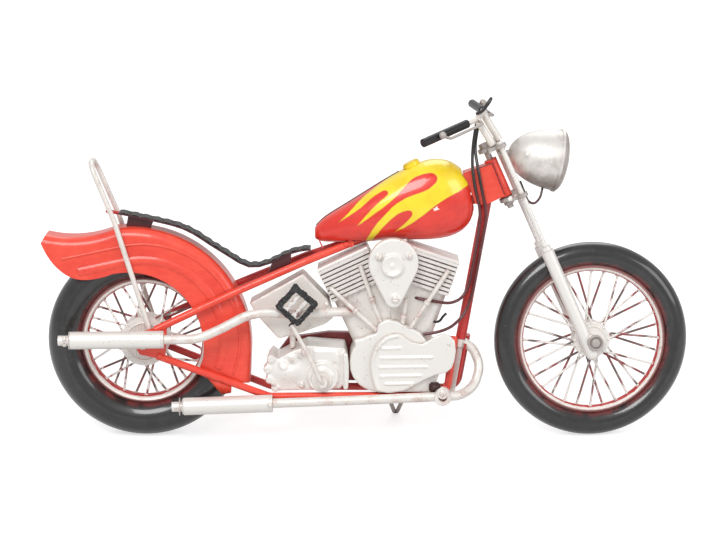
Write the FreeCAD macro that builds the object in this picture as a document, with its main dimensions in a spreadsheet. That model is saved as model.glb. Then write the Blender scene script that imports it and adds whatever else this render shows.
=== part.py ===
import FreeCAD, Part
import math
import os
import re

import Sketcher
from FreeCAD import Placement, Rotation, Vector

# Handmade tin and wire model of a chopper motorcycle, in millimetres.
# X runs forward, Y to the rider's left and Z up. Every piece is drawn for the
# upright bike, and then leans to the left with it, onto the side stand.

doc = FreeCAD.newDocument("chopper")
sheet = doc.addObject("Spreadsheet::Sheet", "Sizes")

SIZES = [
    # How the model stands
    ("CentreX", 0.1, "moves the middle of the whole bike onto the origin, forward"),
    ("CentreY", -27.7, "moves the middle of the whole bike onto the origin, to the left"),
    ("LeanAngle", 8.5, "lean to the left, in degrees"),
    ("SteerRest", 5, "fork turned left as it stands, in degrees"),
    ("BarTwist", -27, "handlebar askew on its clamp, in degrees"),
    # Rear wheel
    ("RearWheelFront", -77, "front of the rear tyre, fore and aft"),
    ("RearTyreRadius", 60.5, "outside of the rear tyre"),
    ("RearTyreWidth", 22, "rear tyre's round section"),
    ("RearTyreDepth", 20.5, "rear tyre, from its outside to the rim"),
    ("RearRimDepth", 4.6, "rear rim, from seat to inner face"),
    ("RearRimWidth", 12.5, "rear rim across its lips"),
    ("RearFlangeRadius", 15.2, "rear hub's spoke flange"),
    ("RearFlangeY", 9, "rear spoke flange from the middle"),
    ("RearHubHalf", 15.6, "half length of the rear hub"),
    # Front wheel
    ("FrontTyreRadius", 60.5, "outside of the front tyre"),
    ("FrontTyreWidth", 15, "front tyre's round section"),
    ("FrontTyreDepth", 13.9, "front tyre, from its outside to the rim"),
    ("FrontRimDepth", 4, "front rim, from seat to inner face"),
    ("FrontRimWidth", 9, "front rim across its lips"),
    ("FrontFlangeRadius", 11.2, "front hub's spoke flange"),
    ("FrontFlangeY", 5.2, "front spoke flange from the middle"),
    ("FrontHubHalf", 9.4, "half length of the front hub"),
    # Both wheels
    ("SpokeDiameter", 1.4, "spoke wire"),
    ("SpokeCount", 16, "spokes on each side of a wheel"),
    ("SpokeSweep", 24, "how far a spoke leads its hub hole, in degrees"),
    ("FlangeThickness", 1.6, "hub flange"),
    ("HubTubeRadius", 4.6, "hub between its flanges"),
    ("AxleDiameter", 3, "both axles"),
    ("RunningGap", 0.06, "axle and stem in their bores, on the radius"),
    # Steering head and fork
    ("HeadX", 81, "middle of the head tube, fore and aft"),
    ("HeadZ", 161.5, "middle of the head tube, height"),
    ("Rake", 24, "steering axis from upright, in degrees"),
    ("HeadTubeRadius", 4, "head tube"),
    ("HeadTubeHalf", 12.5, "half length of the head tube"),
    ("StemDiameter", 4, "steering stem"),
    ("ForkOffset", 8.2, "fork tubes ahead of the steering axis"),
    ("AxleLead", 4.2, "axle ahead of the fork tubes"),
    ("ForkHalfWidth", 14, "fork tube from the middle"),
    ("ForkTubeDiameter", 3.2, "upper fork tube"),
    ("SliderDiameter", 8, "lower fork leg"),
    ("SliderTop", 52, "top of the lower leg, down the steering axis"),
    ("SliderTail", 6.5, "lower leg below the axle"),
    ("UpperClampAt", -19, "upper clamp, down the steering axis"),
    ("LowerClampAt", 14.2, "lower clamp, down the steering axis"),
    ("ClampThickness", 2.4, "both clamps"),
    ("ClampEar", 3.4, "clamp round each fork tube"),
    # Handlebar
    ("RiserHalf", 6.5, "riser from the middle"),
    ("RiserDiameter", 4.6, "handlebar riser"),
    ("RiserLength", 19.6, "handlebar riser"),
    ("RiserBack", 32.3, "risers lean back, in degrees"),
    ("BarDiameter", 3.4, "handlebar"),
    ("BarHalf", 10, "handlebar before its bends"),
    ("GripBack", 20, "grip runs back"),
    ("GripOut", 38, "grip runs outward"),
    ("GripDown", 5.5, "grip runs down"),
    ("GripDiameter", 5.3, "grip"),
    ("GripStart", 0.16, "where the grip starts along the bar's arm"),
    ("LeverDiameter", 1.8, "hand lever"),
    ("LeverBall", 4.4, "ball on the lever's end"),
    # Headlamp
    ("LampX", 118.7, "lamp's rim, fore and aft"),
    ("LampZ", 171.6, "lamp's rim, height"),
    ("LampDip", 10, "lamp looks down, in degrees"),
    ("LampRadius", 18.8, "lamp's rim"),
    ("LampDepth", 32, "lamp shell behind its rim"),
    ("LampWall", 1.2, "lamp shell's sheet"),
    ("LensBulge", 5.2, "lens ahead of the rim"),
    # Frame
    ("NeckHalf", 6.6, "half width of the neck box"),
    ("BackboneDiameter", 6, "backbone under the tank"),
    ("BackboneZ", 149, "backbone at the neck"),
    ("JoinX", -10, "stays join the backbone, fore and aft"),
    ("JoinZ", 121.4, "stays join the backbone, height"),
    ("StayDiameter", 4.6, "upper and lower stays"),
    ("StaySpread", 20, "stay from the middle at the axle"),
    ("StayAhead", 10.5, "upper stay's end ahead of the axle"),
    ("StayTopRise", 10.5, "upper stay's end above the axle"),
    ("StayLowDrop", 6.9, "lower stay's end below the axle"),
    ("PlateThickness", 1.6, "axle plate"),
    ("DownTubeDiameter", 6.5, "down tube"),
    ("DownTopX", 74, "down tube at the neck, fore and aft"),
    ("DownFootX", 58.6, "down tube's lower end, fore and aft"),
    ("DownFootZ", 60.5, "down tube's lower end, height"),
    ("MountBarDiameter", 4.6, "silver bar below the down tube"),
    ("CradleZ", 27, "bottom rails, height"),
    ("CradleHalf", 11.5, "bottom rail from the middle"),
    ("CradleFrontX", 53.2, "front of the bottom rails"),
    ("CradleRearX", -60, "rear of the bottom rails"),
    ("CradleSkew", 3.6, "left front leg ahead of the right one, by half"),
    # Tank, seat, fender and sissy bar
    ("TankHalf", 18.5, "half width of the tank"),
    ("TankBottom", 123.1, "tank's underside"),
    ("TankTop", 173, "tank's top"),
    ("TankRearX", -32, "tank's rear tip"),
    ("TankFrontX", 66.4, "tank's nose"),
    ("CapRadius", 5.4, "filler cap"),
    ("CapHeight", 3, "filler cap"),
    ("SeatHalf", 7.8, "half width of the seat"),
    ("SeatPan", 1, "seat pan's sheet"),
    ("SeatPad", 1.9, "seat pad"),
    ("RollCount", 19, "rolls across the seat pad"),
    ("FenderHalf", 13.6, "half width of the rear fender"),
    ("FenderSheet", 1, "fender's sheet"),
    ("FenderEdge", 6, "fender's rounded shoulder"),
    ("SissyDiameter", 3.3, "sissy bar wire"),
    ("SissyTopX", -169, "sissy bar's top, fore and aft"),
    ("SissyTopZ", 171.5, "sissy bar's top, height"),
    ("SissyTopHalf", 13, "sissy bar's top corner from the middle"),
    # Engine
    ("CrankX", 17, "crankshaft, fore and aft"),
    ("CrankZ", 44, "crankshaft, height"),
    ("CaseHalf", 16, "half width of the crankcase"),
    ("CoverThickness", 3, "cam cover"),
    ("FrontTilt", 18.5, "front cylinder leans forward, in degrees"),
    ("RearTilt", -25, "rear cylinder leans back, in degrees"),
    ("FinStart", 53.5, "lowest fin from the crankshaft"),
    ("FinPitch", 2.7, "from fin to fin"),
    ("FinThickness", 2, "cooling fin"),
    ("FinCount", 8, "fins on a cylinder"),
    ("FinHalfLength", 17, "half length of a fin"),
    ("FinHalfWidth", 13, "half width of a fin"),
    ("BarrelHalf", 10, "half width of a cylinder below its fins"),
    ("RockerHeight", 2.2, "rocker cover"),
    ("PushrodDiameter", 2.8, "pushrod tube"),
    ("CleanerX", 16.4, "air cleaner's dish, fore and aft"),
    ("CleanerZ", 111.5, "air cleaner's dish, height"),
    ("CleanerRadius", 15.4, "air cleaner's round end"),
    ("CleanerTipZ", 89.2, "air cleaner's small end, height"),
    ("CleanerTipRadius", 5.3, "air cleaner's small end"),
    ("CleanerY", 17.5, "air cleaner's back from the middle"),
    ("CleanerThickness", 6, "air cleaner"),
    ("GearboxX", -37, "gearbox, fore and aft"),
    ("GearboxZ", 43, "gearbox, height"),
    ("GearboxHalf", 14.5, "gearbox to the right of the middle"),
    ("OilTankX", -46, "oil tank, fore and aft"),
    ("OilTankZ", 80, "oil tank, height"),
    ("OilTankHalf", 11, "half width of the oil tank"),
    ("PrimaryThickness", 6, "primary cover on the left"),
    # Exhaust
    ("PipeDiameter", 5.8, "exhaust pipe"),
    ("UpperMufflerY", 30, "upper muffler to the right"),
    ("UpperMufflerZ", 65.6, "upper muffler's height"),
    ("MufflerRadius", 5.4, "both mufflers"),
    ("LowerMufflerY", 22, "lower muffler to the right"),
    ("LowerMufflerZ", 22, "lower muffler's height"),
    ("TipRadius", 3.1, "muffler's tip"),
    # Stand
    ("StandX", 18.8, "stand's foot, fore and aft"),
    ("StandPivotY", 13.5, "stand's hinge to the left"),
    ("StandPivotZ", 19.5, "stand's hinge, height"),
    ("StandFootY", 34.2, "stand's foot to the left"),
    ("StandWire", 2.6, "stand's wire"),
    ("StandPin", 2, "stand's hinge pin"),
    ("StandSpread", 9, "stand's legs at the hinge"),
    # Kick starter and small wires
    ("KickWire", 2.6, "kick starter's lever"),
    ("PedalHalf", 9.4, "half side of the kick pedal"),
    ("PedalRim", 2.4, "kick pedal's frame"),
    ("CableDiameter", 1.9, "control cable"),
    ("LeadDiameter", 1.5, "lamp's lead"),
    ("Seat", 0.05, "pieces seated on each other"),
]

for row, (alias, value, note) in enumerate(SIZES, start=1):
    sheet.set(f"A{row}", note)
    sheet.set(f"B{row}", str(value))
    sheet.setAlias(f"B{row}", alias)
doc.recompute()


def sized(expression):
    """The expression with each size's name pointing at the sheet."""
    return re.sub(r"\b([A-Z]\w+)", r"Sizes.\1", str(expression))


def number(expression):
    """What an expression in the sheet's names comes to."""
    if isinstance(expression, (int, float)):
        return float(expression)
    return float(sheet.evalExpression(sized(expression)))


def point(x, y, z):
    """A point whose coordinates are numbers or expressions."""
    return Vector(number(x), number(y), number(z))


def bind(piece, **expressions):
    """Ties properties of a piece to the sheet."""
    for name, expression in expressions.items():
        piece.setExpression(name, sized(expression))
    return piece


def computed(name, shape):
    """A piece whose shape is worked out here from the sheet."""
    piece = doc.addObject("Part::Feature", name)
    piece.Shape = shape
    return piece


def fused(name, pieces):
    piece = doc.addObject("Part::MultiFuse", name)
    piece.Shapes = pieces
    piece.Refine = False
    return piece


def cut(name, base, tools):
    """The base without its tools."""
    tool = tools[0] if len(tools) == 1 else fused(name + "_tools", tools)
    piece = doc.addObject("Part::Cut", name)
    piece.Base = base
    piece.Tool = tool
    return piece


def common(name, base, tool):
    piece = doc.addObject("Part::Common", name)
    piece.Base = base
    piece.Tool = tool
    return piece


def cylinder(name, start, direction, radius, height):
    """A cylinder from a point along a direction, its size bound to the sheet."""
    piece = doc.addObject("Part::Cylinder", name)
    bind(piece, Radius=radius, Height=height)
    turn = Rotation(Vector(0, 0, 1), direction)
    piece.Placement = Placement(start, turn)
    return piece


def rod(name, start, end, radius):
    """A round rod between two points."""
    shape = Part.makeCylinder(number(radius), (end - start).Length, start, end - start)
    return computed(name, shape)


def ball(name, centre, radius):
    piece = bind(doc.addObject("Part::Sphere", name), Radius=radius)
    piece.Placement = Placement(centre, Rotation())
    return piece


def sketch(name, corners):
    """A closed outline whose corners are pairs of expressions, each held by its own size."""
    outline = doc.addObject("Sketcher::SketchObject", name)
    places = [Vector(number(x), number(z), 0) for x, z in corners]
    for index, place in enumerate(places):
        following = places[(index + 1) % len(places)]
        outline.addGeometry(Part.LineSegment(place, following), False)
    for index in range(len(places)):
        outline.addConstraint(
            Sketcher.Constraint("Coincident", index, 2, (index + 1) % len(places), 1)
        )
    for index, (x, z) in enumerate(corners):
        for kind, value, expression in (
            ("DistanceX", places[index].x, x),
            ("DistanceY", places[index].y, z),
        ):
            held = outline.addConstraint(Sketcher.Constraint(kind, index, 1, value))
            outline.setExpression(f"Constraints[{held}]", sized(expression))
    outline.Placement = Placement(Vector(), Rotation(Vector(1, 0, 0), 90))
    return outline


def turned(name, corners, centre):
    """A round piece about a wheel's axis, from (radius, distance from the middle) corners."""
    piece = doc.addObject("Part::Revolution", name)
    piece.Source = sketch(name + "_profile", corners)
    piece.Axis = Vector(0, 0, 1)
    piece.Base = Vector()
    piece.Angle = 360
    piece.Solid = True
    piece.Placement = Placement(centre, Rotation(Vector(1, 0, 0), -90))
    return piece


def extruded(name, profile, right, left):
    """A flat outline in the side plane, given thickness from right to left of the middle."""
    piece = doc.addObject("Part::Extrusion", name)
    piece.Base = profile
    piece.DirMode = "Custom"
    piece.Dir = Vector(0, 1, 0)
    piece.Solid = True
    bind(piece, LengthFwd=left, LengthRev=right)
    return piece


def plate(name, corners, right, left):
    return extruded(name, sketch(name + "_outline", corners), right, left)


def rounded_path(points, share=0.45, largest=None):
    """Straight runs joined by tangent arcs; an arc takes a share of its shorter run."""
    edges = []
    start = points[0]
    for before, corner, after in zip(points, points[1:], points[2:]):
        back = (before - corner).normalize()
        ahead = (after - corner).normalize()
        turn = math.pi - back.getAngle(ahead)
        if turn < 1e-4:
            continue
        reach = share * min((before - corner).Length, (after - corner).Length)
        if largest is not None:
            reach = min(reach, largest * math.tan(turn / 2))
        radius = reach / math.tan(turn / 2)
        first = corner + back * reach
        last = corner + ahead * reach
        inward = (back + ahead).normalize()
        middle = corner + inward * (radius / math.cos(turn / 2) - radius)
        if (first - start).Length > 1e-4:
            edges.append(Part.LineSegment(start, first).toShape())
        edges.append(Part.Arc(first, middle, last).toShape())
        start = last
    edges.append(Part.LineSegment(start, points[-1]).toShape())
    return Part.Wire(edges)


def tube(name, points, radius, share=0.45, largest=None):
    """A round wire or pipe swept along its path."""
    path = computed(name + "_path", rounded_path(points, share, largest))
    section = doc.addObject("Part::Circle", name + "_section")
    bind(section, Radius=radius)
    along = points[1] - points[0]
    section.Placement = Placement(points[0], Rotation(Vector(0, 0, 1), along))
    piece = doc.addObject("Part::Sweep", name)
    piece.Sections = [section]
    names = [f"Edge{index + 1}" for index in range(len(path.Shape.Edges))]
    piece.Spine = (path, names)
    piece.Solid = True
    piece.Frenet = False
    return piece


# Where everything is held: the frame leans, and the fork also turns about the steering axis.
RAKE = math.radians(number("Rake"))
STEER_DOWN = Vector(math.sin(RAKE), 0, -math.cos(RAKE))
STEER_FORWARD = Vector(math.cos(RAKE), 0, math.sin(RAKE))
LEFT = Vector(0, 1, 0)
HEAD = point("HeadX", 0, "HeadZ")
REAR_X = "(RearWheelFront - RearTyreRadius)"
REAR_AXLE = point(REAR_X, 0, "RearTyreRadius")


def fork_point(down, forward, left=0):
    """A point of the fork, down the steering axis, ahead of it and to the left."""
    return HEAD + STEER_DOWN * number(down) + STEER_FORWARD * number(forward) + LEFT * number(left)


AXLE_FORWARD = number("ForkOffset + AxleLead")
AXLE_DOWN = (
    number("HeadZ - FrontTyreRadius") + AXLE_FORWARD * math.sin(RAKE)
) / math.cos(RAKE)
FRONT_AXLE = fork_point(AXLE_DOWN, AXLE_FORWARD)


def by_wheel(angle, out, left=0):
    """A place round the rear wheel: its angle above straight ahead, and how far outside the tyre."""
    turn = math.radians(angle)
    away = Vector(math.cos(turn), 0, math.sin(turn)) * number(f"RearTyreRadius + {out}")
    return REAR_AXLE + away + LEFT * number(left)


def shifted(corners, x, z):
    """An outline's corners, given from a named place, as expressions."""
    return [(f"{x} + {ahead}", f"{z} + {up}") for ahead, up in corners]


def about(centre, axis, angle):
    """A turn about an axis through a point."""
    turn = Rotation(axis, angle)
    return Placement(centre - turn.multVec(centre), turn)


lean_turn = Rotation(Vector(1, 0, 0), -number("LeanAngle"))
tyre_sink = number("RearTyreWidth") / 2 * (1 - math.cos(math.radians(number("LeanAngle"))))
LEANING = Placement(point("CentreX", "CentreY", tyre_sink), lean_turn)
STEERED = LEANING * about(HEAD, STEER_DOWN, -number("SteerRest"))

nodes = []


def node(name, pieces, held=LEANING):
    """One named sub-part of the finished model, in its place on the leaning bike."""
    piece = doc.addObject("Part::Compound", name)
    piece.Label = name
    piece.Links = pieces
    piece.Placement = held
    nodes.append(piece)
    return piece


# Wheels
def wheel(side, centre, held):
    """Tyre, rim, and the hub with its crossing wire spokes."""
    half = number(f"{side}TyreWidth / 2")
    torus = doc.addObject("Part::Torus", side + "Tyre")
    bind(torus, Radius1=f"{side}TyreRadius - {side}TyreWidth / 2", Radius2=f"{side}TyreWidth / 2")
    torus.Placement = Placement(centre, Rotation(Vector(1, 0, 0), 90))
    seat = f"({side}TyreRadius - {side}TyreDepth)"
    bore = cylinder(side + "TyreBore", centre - LEFT * half, LEFT, seat, f"{side}TyreWidth")
    node(side.lower() + "_tyre", [cut(side + "TyreRing", torus, [bore])], held)

    deep, lip = f"{side}RimDepth", f"{side}RimWidth / 2"
    inner = f"{seat} - {deep}"
    profile = [
        (seat, f"-{lip} * 0.72"),
        (f"{seat} - {deep} * 0.36", f"-{lip}"),
        (f"{seat} - {deep} * 0.72", f"-{lip} * 0.9"),
        (inner, f"-{lip} * 0.5"),
        (inner, f"{lip} * 0.5"),
        (f"{seat} - {deep} * 0.72", f"{lip} * 0.9"),
        (f"{seat} - {deep} * 0.36", lip),
        (seat, f"{lip} * 0.72"),
    ]
    node(side.lower() + "_rim", [turned(side + "Rim", profile, centre)], held)

    bore_radius = "AxleDiameter / 2 + RunningGap"
    flange, inside, thick = f"{side}FlangeRadius", f"{side}FlangeY", "FlangeThickness / 2"
    step = f"{side}FlangeRadius * 0.8"
    boss = f"{side}HubHalf"
    half_profile = [
        ("HubTubeRadius", f"{inside} - {thick}"),
        (flange, f"{inside} - {thick}"),
        (flange, f"{inside} + {thick}"),
        (step, f"{inside} + {thick}"),
        (step, f"{inside} + {thick} * 2.2"),
        ("HubTubeRadius", f"{inside} + {thick} * 2.2"),
        ("HubTubeRadius * 0.8", boss),
        (bore_radius, boss),
    ]
    profile = half_profile + [(radius, f"-({place})") for radius, place in reversed(half_profile)]
    hub = turned(side + "Hub", profile, centre)
    count = int(number("SpokeCount"))
    spokes = []
    outer = number(inner)
    for hand in (-1, 1):
        for index in range(count):
            lead = number("SpokeSweep") * (1 if index % 2 else -1)
            at_rim = 360 / count * (index + (0.5 if hand > 0 else 0))
            at_hub = at_rim + lead
            shift = number("SpokeDiameter") * (0.62 if index % 2 else -0.62)
            root = number(flange) - number("SpokeDiameter")
            start = Rotation(LEFT, at_hub).multVec(Vector(root, 0, 0))
            end = Rotation(LEFT, at_rim).multVec(Vector(outer + 1, 0, 0))
            start += centre + LEFT * (hand * (number(inside) + shift))
            end += centre + LEFT * (hand * (number(f"{side}RimWidth") * 0.13 + shift * 0.4))
            radius = number("SpokeDiameter / 2")
            spokes.append(Part.makeCylinder(radius, (end - start).Length, start, end - start))
    wires = [computed(f"{side}Spoke{index}", spoke) for index, spoke in enumerate(spokes)]
    laced = fused(side + "Laced", [hub] + wires)
    disc = cylinder(side + "RimInside", centre - LEFT * number(boss), LEFT, inner, f"2 * {boss}")
    node(side.lower() + "_hub", [common(side + "Wheel", laced, disc)], held)


wheel("Rear", REAR_AXLE, LEANING)
wheel("Front", FRONT_AXLE, STEERED)


# Frame: neck box and backbone
def neck_outline():
    """Corners of the neck box, about the head tube."""
    return [
        ("HeadX - 14", "HeadZ - 15.5"),
        ("HeadX - 8.2", "HeadZ - 16.4"),
        ("HeadX + 4", "HeadZ - 10.6"),
        ("HeadX - 4", "HeadZ + 9.6"),
        ("HeadX - 22", "HeadZ + 3.4"),
    ]


steer_axis_start = fork_point("-HeadTubeHalf", 0)
neck_box = plate("NeckBox", neck_outline(), "NeckHalf", "NeckHalf")
head_tube = cylinder("HeadTube", steer_axis_start, STEER_DOWN, "HeadTubeRadius", "2 * HeadTubeHalf")
head_bore = cylinder(
    "HeadBore",
    fork_point("-HeadTubeHalf - 10", 0),
    STEER_DOWN,
    "StemDiameter / 2 + RunningGap",
    "2 * HeadTubeHalf + 20",
)
backbone_end = point("HeadX - 12", 0, "BackboneZ")
join = point("JoinX", 0, "JoinZ")
backbone_tube = rod("BackboneTube", join, backbone_end, "BackboneDiameter / 2")
cross = cylinder(
    "StayCross",
    join - LEFT * number("StayDiameter + BackboneDiameter / 2"),
    LEFT,
    "StayDiameter / 2",
    "2 * StayDiameter + BackboneDiameter",
)
neck = cut("Neck", fused("NeckAndBackbone", [neck_box, head_tube, backbone_tube, cross]), [head_bore])
node("neck_and_backbone", [neck])

# Axle plates and stays
axle_reach = number("StaySpread + PlateThickness / 2 + 3.2")
axle_bar = cylinder(
    "RearAxleBar", REAR_AXLE - LEFT * axle_reach, LEFT, "AxleDiameter / 2",
    "2 * (StaySpread + PlateThickness / 2 + 3.2)",
)


def nut(name, centre, across, height):
    """A hexagon nut on an axle, lying along it."""
    prism = doc.addObject("Part::Prism", name)
    prism.Polygon = 6
    bind(prism, Circumradius=across, Height=height)
    prism.Placement = Placement(centre, Rotation(Vector(1, 0, 0), -90))
    return prism


nut_inner = number("StaySpread + PlateThickness / 2")
rear_nuts = [
    nut("RearNutLeft", REAR_AXLE + LEFT * nut_inner, "AxleDiameter * 0.95", "2.4"),
    nut("RearNutRight", REAR_AXLE - LEFT * (nut_inner + 2.4), "AxleDiameter * 0.95", "2.4"),
]
node("rear_axle", [fused("RearAxle", [axle_bar] + rear_nuts)])


STAY_X = f"({REAR_X} + StayAhead)"
STAY_Z = "(RearTyreRadius + StayTopRise)"
STAY_LOW_Z = "(RearTyreRadius - StayLowDrop)"
JOIN_Y = "(BackboneDiameter / 2 + StayDiameter * 0.55)"


def on_stay(ahead, up, left):
    """A place between the upper stay's end and the join, by its shares of the way ahead and up."""
    x = f"{STAY_X} + (JoinX - {STAY_X}) * {ahead}"
    return point(x, left, f"{STAY_Z} + (JoinZ - {STAY_Z}) * {up}")


def stay_side(side, hand):
    """Upper stay with its axle plate, and the cradle rod below, on one side."""
    spread = number("StaySpread") * hand
    outline = shifted(
        [(-5.5, 0), (-2, -6), (13.5, -9.5), (15, 13.1), (-1, 8)], REAR_X, "RearTyreRadius"
    )
    low, high = ("StaySpread + PlateThickness / 2", "PlateThickness / 2 - StaySpread")
    if hand > 0:
        low, high = high, low
    dropout = plate(side + "Dropout", outline, low, high)
    points = [
        point(f"{STAY_X} - 3", spread, f"{STAY_Z} - 1.2"),
        on_stay(0.41, 0.444, spread * 0.82),
        on_stay(0.76, 0.79, spread * 0.6),
        point("JoinX", f"{hand} * {JOIN_Y}", "JoinZ"),
    ]
    upper = tube(side + "Upper", points, "StayDiameter / 2", largest=30)
    welded = fused(side + "StayAndPlate", [upper, dropout])
    node(f"upper_stay_{side.lower()}", [cut(side + "Stay", welded, [neck, axle_bar])])

    front = number("CradleFrontX") + hand * number("CradleSkew")
    rail_y = hand * number("CradleHalf")
    points = [
        point(f"DownFootX + {hand} * DownTubeDiameter * 0.62", hand * 3.2, "DownFootZ + 2"),
        point(front, rail_y, "CradleZ"),
        point("CradleRearX", rail_y * 1.35, "CradleZ"),
        point(f"{STAY_X} - 2", spread, STAY_LOW_Z),
    ]
    lower = tube(side + "Lower", points, "StayDiameter / 2", largest=9)
    cradle = cut(side + "Cradle", lower, [down_assembly, dropout])
    node(f"cradle_{side.lower()}", [cradle])
    return lower, cradle


down_top = point("DownTopX", 0, "HeadZ - 14.5")
down_foot = point("DownFootX", 0, "DownFootZ")
down_tube = rod("DownTubeRod", down_foot, down_top, "DownTubeDiameter / 2")
mount_foot = point("CradleFrontX - 0.6", 0, "CradleZ - 1.5")
mount_bar = rod("MountBarRod", mount_foot, down_foot, "MountBarDiameter / 2")
collar = cylinder(
    "MountCollar", down_foot, mount_foot - down_foot, "DownTubeDiameter / 2 + 0.4", "5",
)
silver_bar = fused("SilverBar", [mount_bar, collar])
down_cut = cut("DownTubeCut", down_tube, [neck])
node("down_tube", [down_cut])
down_assembly = fused("DownAssembly", [down_tube, mount_bar, collar])
right_rod, right_cradle = stay_side("Right", -1)
left_rod, left_cradle = stay_side("Left", 1)
node("engine_mount_bar", [cut("MountBarCut", silver_bar, [down_tube])])


# Fuel tank: rounded sections along the bike, straddling the backbone
def ring(x, bottom, top, half, squareness=2.35, count=16):
    """One cross-section of the tank, a rounded oval closed on itself."""
    middle, rise = (bottom + top) / 2, (top - bottom) / 2
    places = []
    for index in range(count):
        angle = 2 * math.pi * (index + 0.5) / count
        across, up = math.cos(angle), math.sin(angle)
        across = math.copysign(abs(across) ** (2 / squareness), across)
        up = math.copysign(abs(up) ** (2 / squareness), up)
        places.append(Vector(x, half * across, middle + rise * up))
    curve = Part.BSplineCurve()
    curve.interpolate(places, PeriodicFlag=True)
    return Part.Wire([curve.toShape()])


tank_rear, tank_front = number("TankRearX"), number("TankFrontX")
tank_low, tank_high, tank_half = number("TankBottom"), number("TankTop"), number("TankHalf")
tank_length, tank_rise = tank_front - tank_rear, tank_high - tank_low
# Share of the length, and of the height at the underside, the top and the half width.
TANK_SECTIONS = [
    (0, 0.019, 0.145, 0.16),
    (0.035, -0.019, 0.231, 0.36),
    (0.13, -0.028, 0.364, 0.62),
    (0.3, -0.028, 0.573, 0.86),
    (0.48, 0, 0.791, 0.99),
    (0.64, 0, 0.948, 1.02),
    (0.76, 0.009, 1, 0.98),
    (0.86, 0.047, 0.957, 0.84),
    (0.95, 0.152, 0.81, 0.58),
    (1, 0.323, 0.62, 0.2),
]
tank_rings = [
    ring(
        tank_rear + tank_length * along,
        tank_low + tank_rise * under,
        tank_low + tank_rise * over,
        tank_half * wide,
    )
    for along, under, over, wide in TANK_SECTIONS
]
tank_body = computed("TankBody", Part.makeLoft(tank_rings, True, False))
tunnel_radius = "BackboneDiameter / 2 + 1"
tunnel = rod("TankTunnel", join - (backbone_end - join) * 0.1, backbone_end, tunnel_radius)
slot_outline = [
    ("TankRearX - 5", "TankBottom - 8"),
    ("TankFrontX + 5", "TankBottom - 8"),
    ("TankFrontX + 5", "BackboneZ"),
    ("HeadX - 12", "BackboneZ"),
    ("JoinX", "JoinZ"),
    ("TankRearX - 5", "JoinZ"),
]
slot = plate("TankSlot", slot_outline, tunnel_radius, tunnel_radius)
neck_room = plate(
    "NeckRoom",
    [
        ("HeadX - 14.6", "HeadZ - 18"),
        ("HeadX + 4", "HeadZ - 18"),
        ("HeadX + 4", "HeadZ + 10"),
        ("HeadX - 22.6", "HeadZ + 10"),
        ("HeadX - 22.6", "HeadZ + 3"),
    ],
    "NeckHalf + 0.4",
    "NeckHalf + 0.4",
)
stay_rooms = [
    rod(
        f"StayRoom{hand}",
        on_stay(0.513, 0.536, f"{hand} * StaySpread * 0.74"),
        point("JoinX + 6", f"{hand} * {JOIN_Y}", "JoinZ + 1.8"),
        "StayDiameter / 2 + 1",
    )
    for hand in (-1, 1)
]
cross_room = cylinder(
    "CrossRoom",
    join - LEFT * number("StayDiameter + BackboneDiameter / 2 + 1"),
    LEFT,
    "StayDiameter / 2 + 0.5",
    "2 * StayDiameter + BackboneDiameter + 2",
)
cap_slope = math.radians(27)
cap_axis = Vector(-math.sin(cap_slope), 0, math.cos(cap_slope))
cap_centre = Vector(tank_rear + tank_length * 0.612, 0, tank_low + tank_rise * 0.90)
cap_seat = cylinder("CapSeat", cap_centre, cap_axis, "CapRadius + Seat", "20")
tank = cut("Tank", tank_body, [tunnel, slot, neck_room, cross_room, cap_seat] + stay_rooms)
node("fuel_tank", [tank])
cap = cylinder("Cap", cap_centre, cap_axis, "CapRadius", "CapHeight")
cap_top = cylinder(
    "CapTop", cap_centre + cap_axis * number("CapHeight"), cap_axis, "CapRadius * 0.84", "0.7"
)
node("fuel_cap", [fused("FillerCap", [cap, cap_top])])


# Seat: a pan of thin sheet and a rolled pad on it
SEAT_OVER_WHEEL = [
    (100.95, 20.07), (93.13, 16.51), (81.26, 13.86), (68.76, 13.21), (56.02, 11.97), (43.05, 14.36),
    (37.45, 16.96), (34.3, 20.6),
]
SEAT_BY_JOIN = [(-54, -14.2), (-47, -11.5), (-39, -7.4), (-31, -5), (-24.4, -4.1)]
seat_curve = Part.BSplineCurve()
seat_curve.interpolate(
    [by_wheel(angle, out) for angle, out in SEAT_OVER_WHEEL]
    + [point(f"JoinX + {x}", 0, f"JoinZ + {z}") for x, z in SEAT_BY_JOIN]
)
roll_count = int(number("RollCount"))
stations = [Vector(place) for place in seat_curve.toShape().discretize(Number=roll_count + 1)]


def lifted(places, height):
    """The places moved square to their line."""
    moved = []
    for index, place in enumerate(places):
        ahead = places[min(index + 1, len(places) - 1)] - places[max(index - 1, 0)]
        normal = Vector(-ahead.z, 0, ahead.x).normalize()
        moved.append(place + normal * height)
    return moved


def across_seat(name, edges, half):
    """A closed side outline, as wide as the seat."""
    face = Part.Face(Part.Wire(Part.__sortEdges__(edges)))
    shape = face.extrude(LEFT * 2 * half)
    shape.translate(LEFT * -half)
    return computed(name, shape)


def line(start, end):
    return Part.LineSegment(start, end).toShape()


pan_under = stations
pan_over = lifted(stations, number("SeatPan"))
pan_edges = [line(a, b) for a, b in zip(pan_under, pan_under[1:])]
pan_edges += [line(a, b) for a, b in zip(pan_over, pan_over[1:])]
pan_edges += [line(pan_under[0], pan_over[0]), line(pan_under[-1], pan_over[-1])]
seat_pan = across_seat("SeatPanSheet", pan_edges, number("SeatHalf"))
node("seat_pan", [seat_pan])

pad_over = lifted(stations, number("SeatPan + SeatPad * 0.55"))
pad_edges = [line(a, b) for a, b in zip(pan_over, pan_over[1:])]
for first, last in zip(pad_over, pad_over[1:]):
    crown = lifted([first, last], number("SeatPad * 0.45"))
    pad_edges.append(Part.Arc(first, (crown[0] + crown[1]) / 2, last).toShape())
pad_edges += [line(pan_over[0], pad_over[0]), line(pan_over[-1], pad_over[-1])]
node("seat_pad", [across_seat("SeatPadRolls", pad_edges, number("SeatHalf + 0.6"))])


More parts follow.
